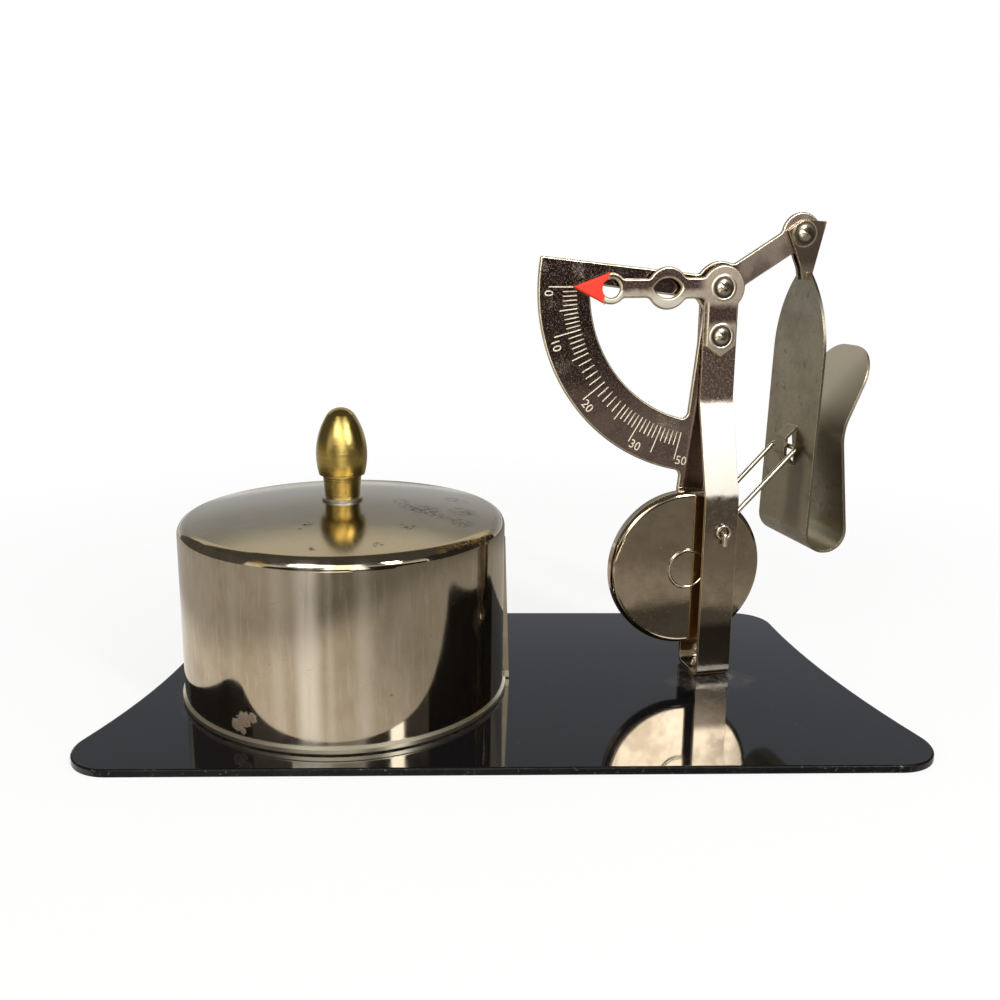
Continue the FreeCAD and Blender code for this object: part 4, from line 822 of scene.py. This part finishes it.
def table_card():
    """A ring just over the floor, which tones down the floor that the metal shows."""
    bpy.ops.object.select_all(action="DESELECT")
    bpy.ops.mesh.primitive_circle_add(vertices=64, radius=0.03, fill_type="NOTHING")
    bpy.ops.object.mode_set(mode="EDIT")
    bpy.ops.mesh.select_all(action="SELECT")
    bpy.ops.mesh.extrude_edges_move()
    bpy.ops.transform.resize(value=(38.0, 38.0, 1.0))
    bpy.ops.object.mode_set(mode="OBJECT")
    bpy.context.active_object.data.transform(Matrix.Translation((0.0, 0.0, 0.0002)))
    card("table_card", (1.0, 0.95, 0.88), 0.9, 0.54, 0.095, 0.13, False, right=0.48)


def facing(direction):
    return Vector(direction).to_track_quat("Z", "Y").to_matrix()


def soft_box(name, azimuth, elevation, distance, width, height, radiance):
    """Area lamp round the object: azimuth 0 is the viewer's side, positive to the right."""
    a, e = math.radians(azimuth), math.radians(elevation)
    out = Vector((math.sin(a) * math.cos(e), -math.cos(a) * math.cos(e), math.sin(e)))
    lamp = bpy.data.lights.new(name, "AREA")
    lamp.shape = "RECTANGLE"
    lamp.size, lamp.size_y = width, height
    lamp.energy = radiance * math.pi * width * height
    body = bpy.data.objects.new(name, lamp)
    body.location = out * distance + Vector((0.0, 0.0, 0.04))
    body.rotation_mode = "QUATERNION"
    body.rotation_quaternion = out.to_track_quat("Z", "Y")
    bpy.context.scene.collection.objects.link(body)


def light_up():
    world = bpy.data.worlds.new("studio")
    world.use_nodes = True
    tree = world.node_tree
    seen = seen_directly(tree)
    feed(tree, tree.nodes["Background"].inputs["Color"],
         add(tree, "ShaderNodeMix", {0: seen, 6: (1.0, 0.985, 0.96), 7: (1.0, 1.0, 1.0)}, data_type="RGBA").outputs[2])
    feed(tree, tree.nodes["Background"].inputs["Strength"],
         maths(tree, "ADD", maths(tree, "MULTIPLY", seen, 1.0 - SKY), SKY))
    bpy.context.scene.world = world
    soft_box("window_left", -20.0, 34.0, 0.9, 0.40, 0.30, 7.0)
    soft_box("window_right", 38.0, 32.0, 0.83, 0.13, 0.30, 24.0)
    brown = (1.0, 0.66, 0.52)
    standing_card("front_card_right", (0.66, 0.17), (0.46, -0.45, 0.085), (0.0, 1.0, 0.0), brown, 0.035, 0.035)
    standing_card("front_card_left", (0.40, 0.17), (-0.30, -0.45, 0.085), (0.0, 1.0, 0.0), brown, 0.035, 0.035)
    standing_card("front_card_middle", (0.235, 0.07), (0.0125, -0.4505, 0.035), (0.0, 1.0, 0.0), brown, 0.035, 0.035)
    standing_card("front_window", (0.19, 0.35), (0.017, -0.451, 0.245), (0.0, 1.0, 0.0), (1.0, 0.97, 0.9), 3.2, 3.2)
    standing_card("floor_window", (0.16, 0.26), (0.0, -0.31, 0.0006), (0.0, 0.0, 1.0), (1.0, 0.97, 0.9), 2.2, 2.2)
    standing_card("ceiling_card", (6.0, 6.0), (0.0, 0.0, 0.95), (0.0, 0.0, -1.0), (1.0, 0.95, 0.9), 0.1, SKY,
                  2.0, 2.1, upwards=False)
    standing_card("back_card", (1.5, 0.30), (0.0, 0.55, 0.20), (0.0, -1.0, 0.0), (0.93, 0.97, 1.04), 0.54, 0.40,
                  0.13, 0.24)
    standing_card("back_card_high", (1.5, 0.28), (0.0, 0.55, 0.49), (0.0, -1.0, 0.0), (1.0, 0.95, 0.86), 0.55, 0.85,
                  0.35, 0.42)
    standing_card("left_card", (0.8, 0.45), (-0.55, 0.10, 0.225), (1.0, 0.0, 0.0), (1.0, 0.95, 0.9), 0.12, 0.12)
    standing_card("right_card", (0.8, 0.45), (0.55, 0.10, 0.225), (-1.0, 0.0, 0.0), (1.0, 0.95, 0.9), 0.04, 0.04)
    table_card()


def look_through():
    """Camera fitted to the photograph: place, tilt, focal length and shift."""
    camera = bpy.data.cameras.new("camera")
    camera.sensor_width = 36.0
    camera.lens = 36.0 * 0.9977
    camera.shift_x = 0.0475
    camera.shift_y = -0.0278
    camera.clip_start = 0.01
    body = bpy.data.objects.new("camera", camera)
    body.location = (-0.00979, -0.21075, 0.09351)
    body.rotation_euler = (math.radians(90.0 - 11.98), 0.0, 0.0)
    bpy.context.scene.collection.objects.link(body)
    bpy.context.scene.camera = body


dress()
sweep()
light_up()
look_through()
bpy.context.scene.view_settings.view_transform = "Standard"
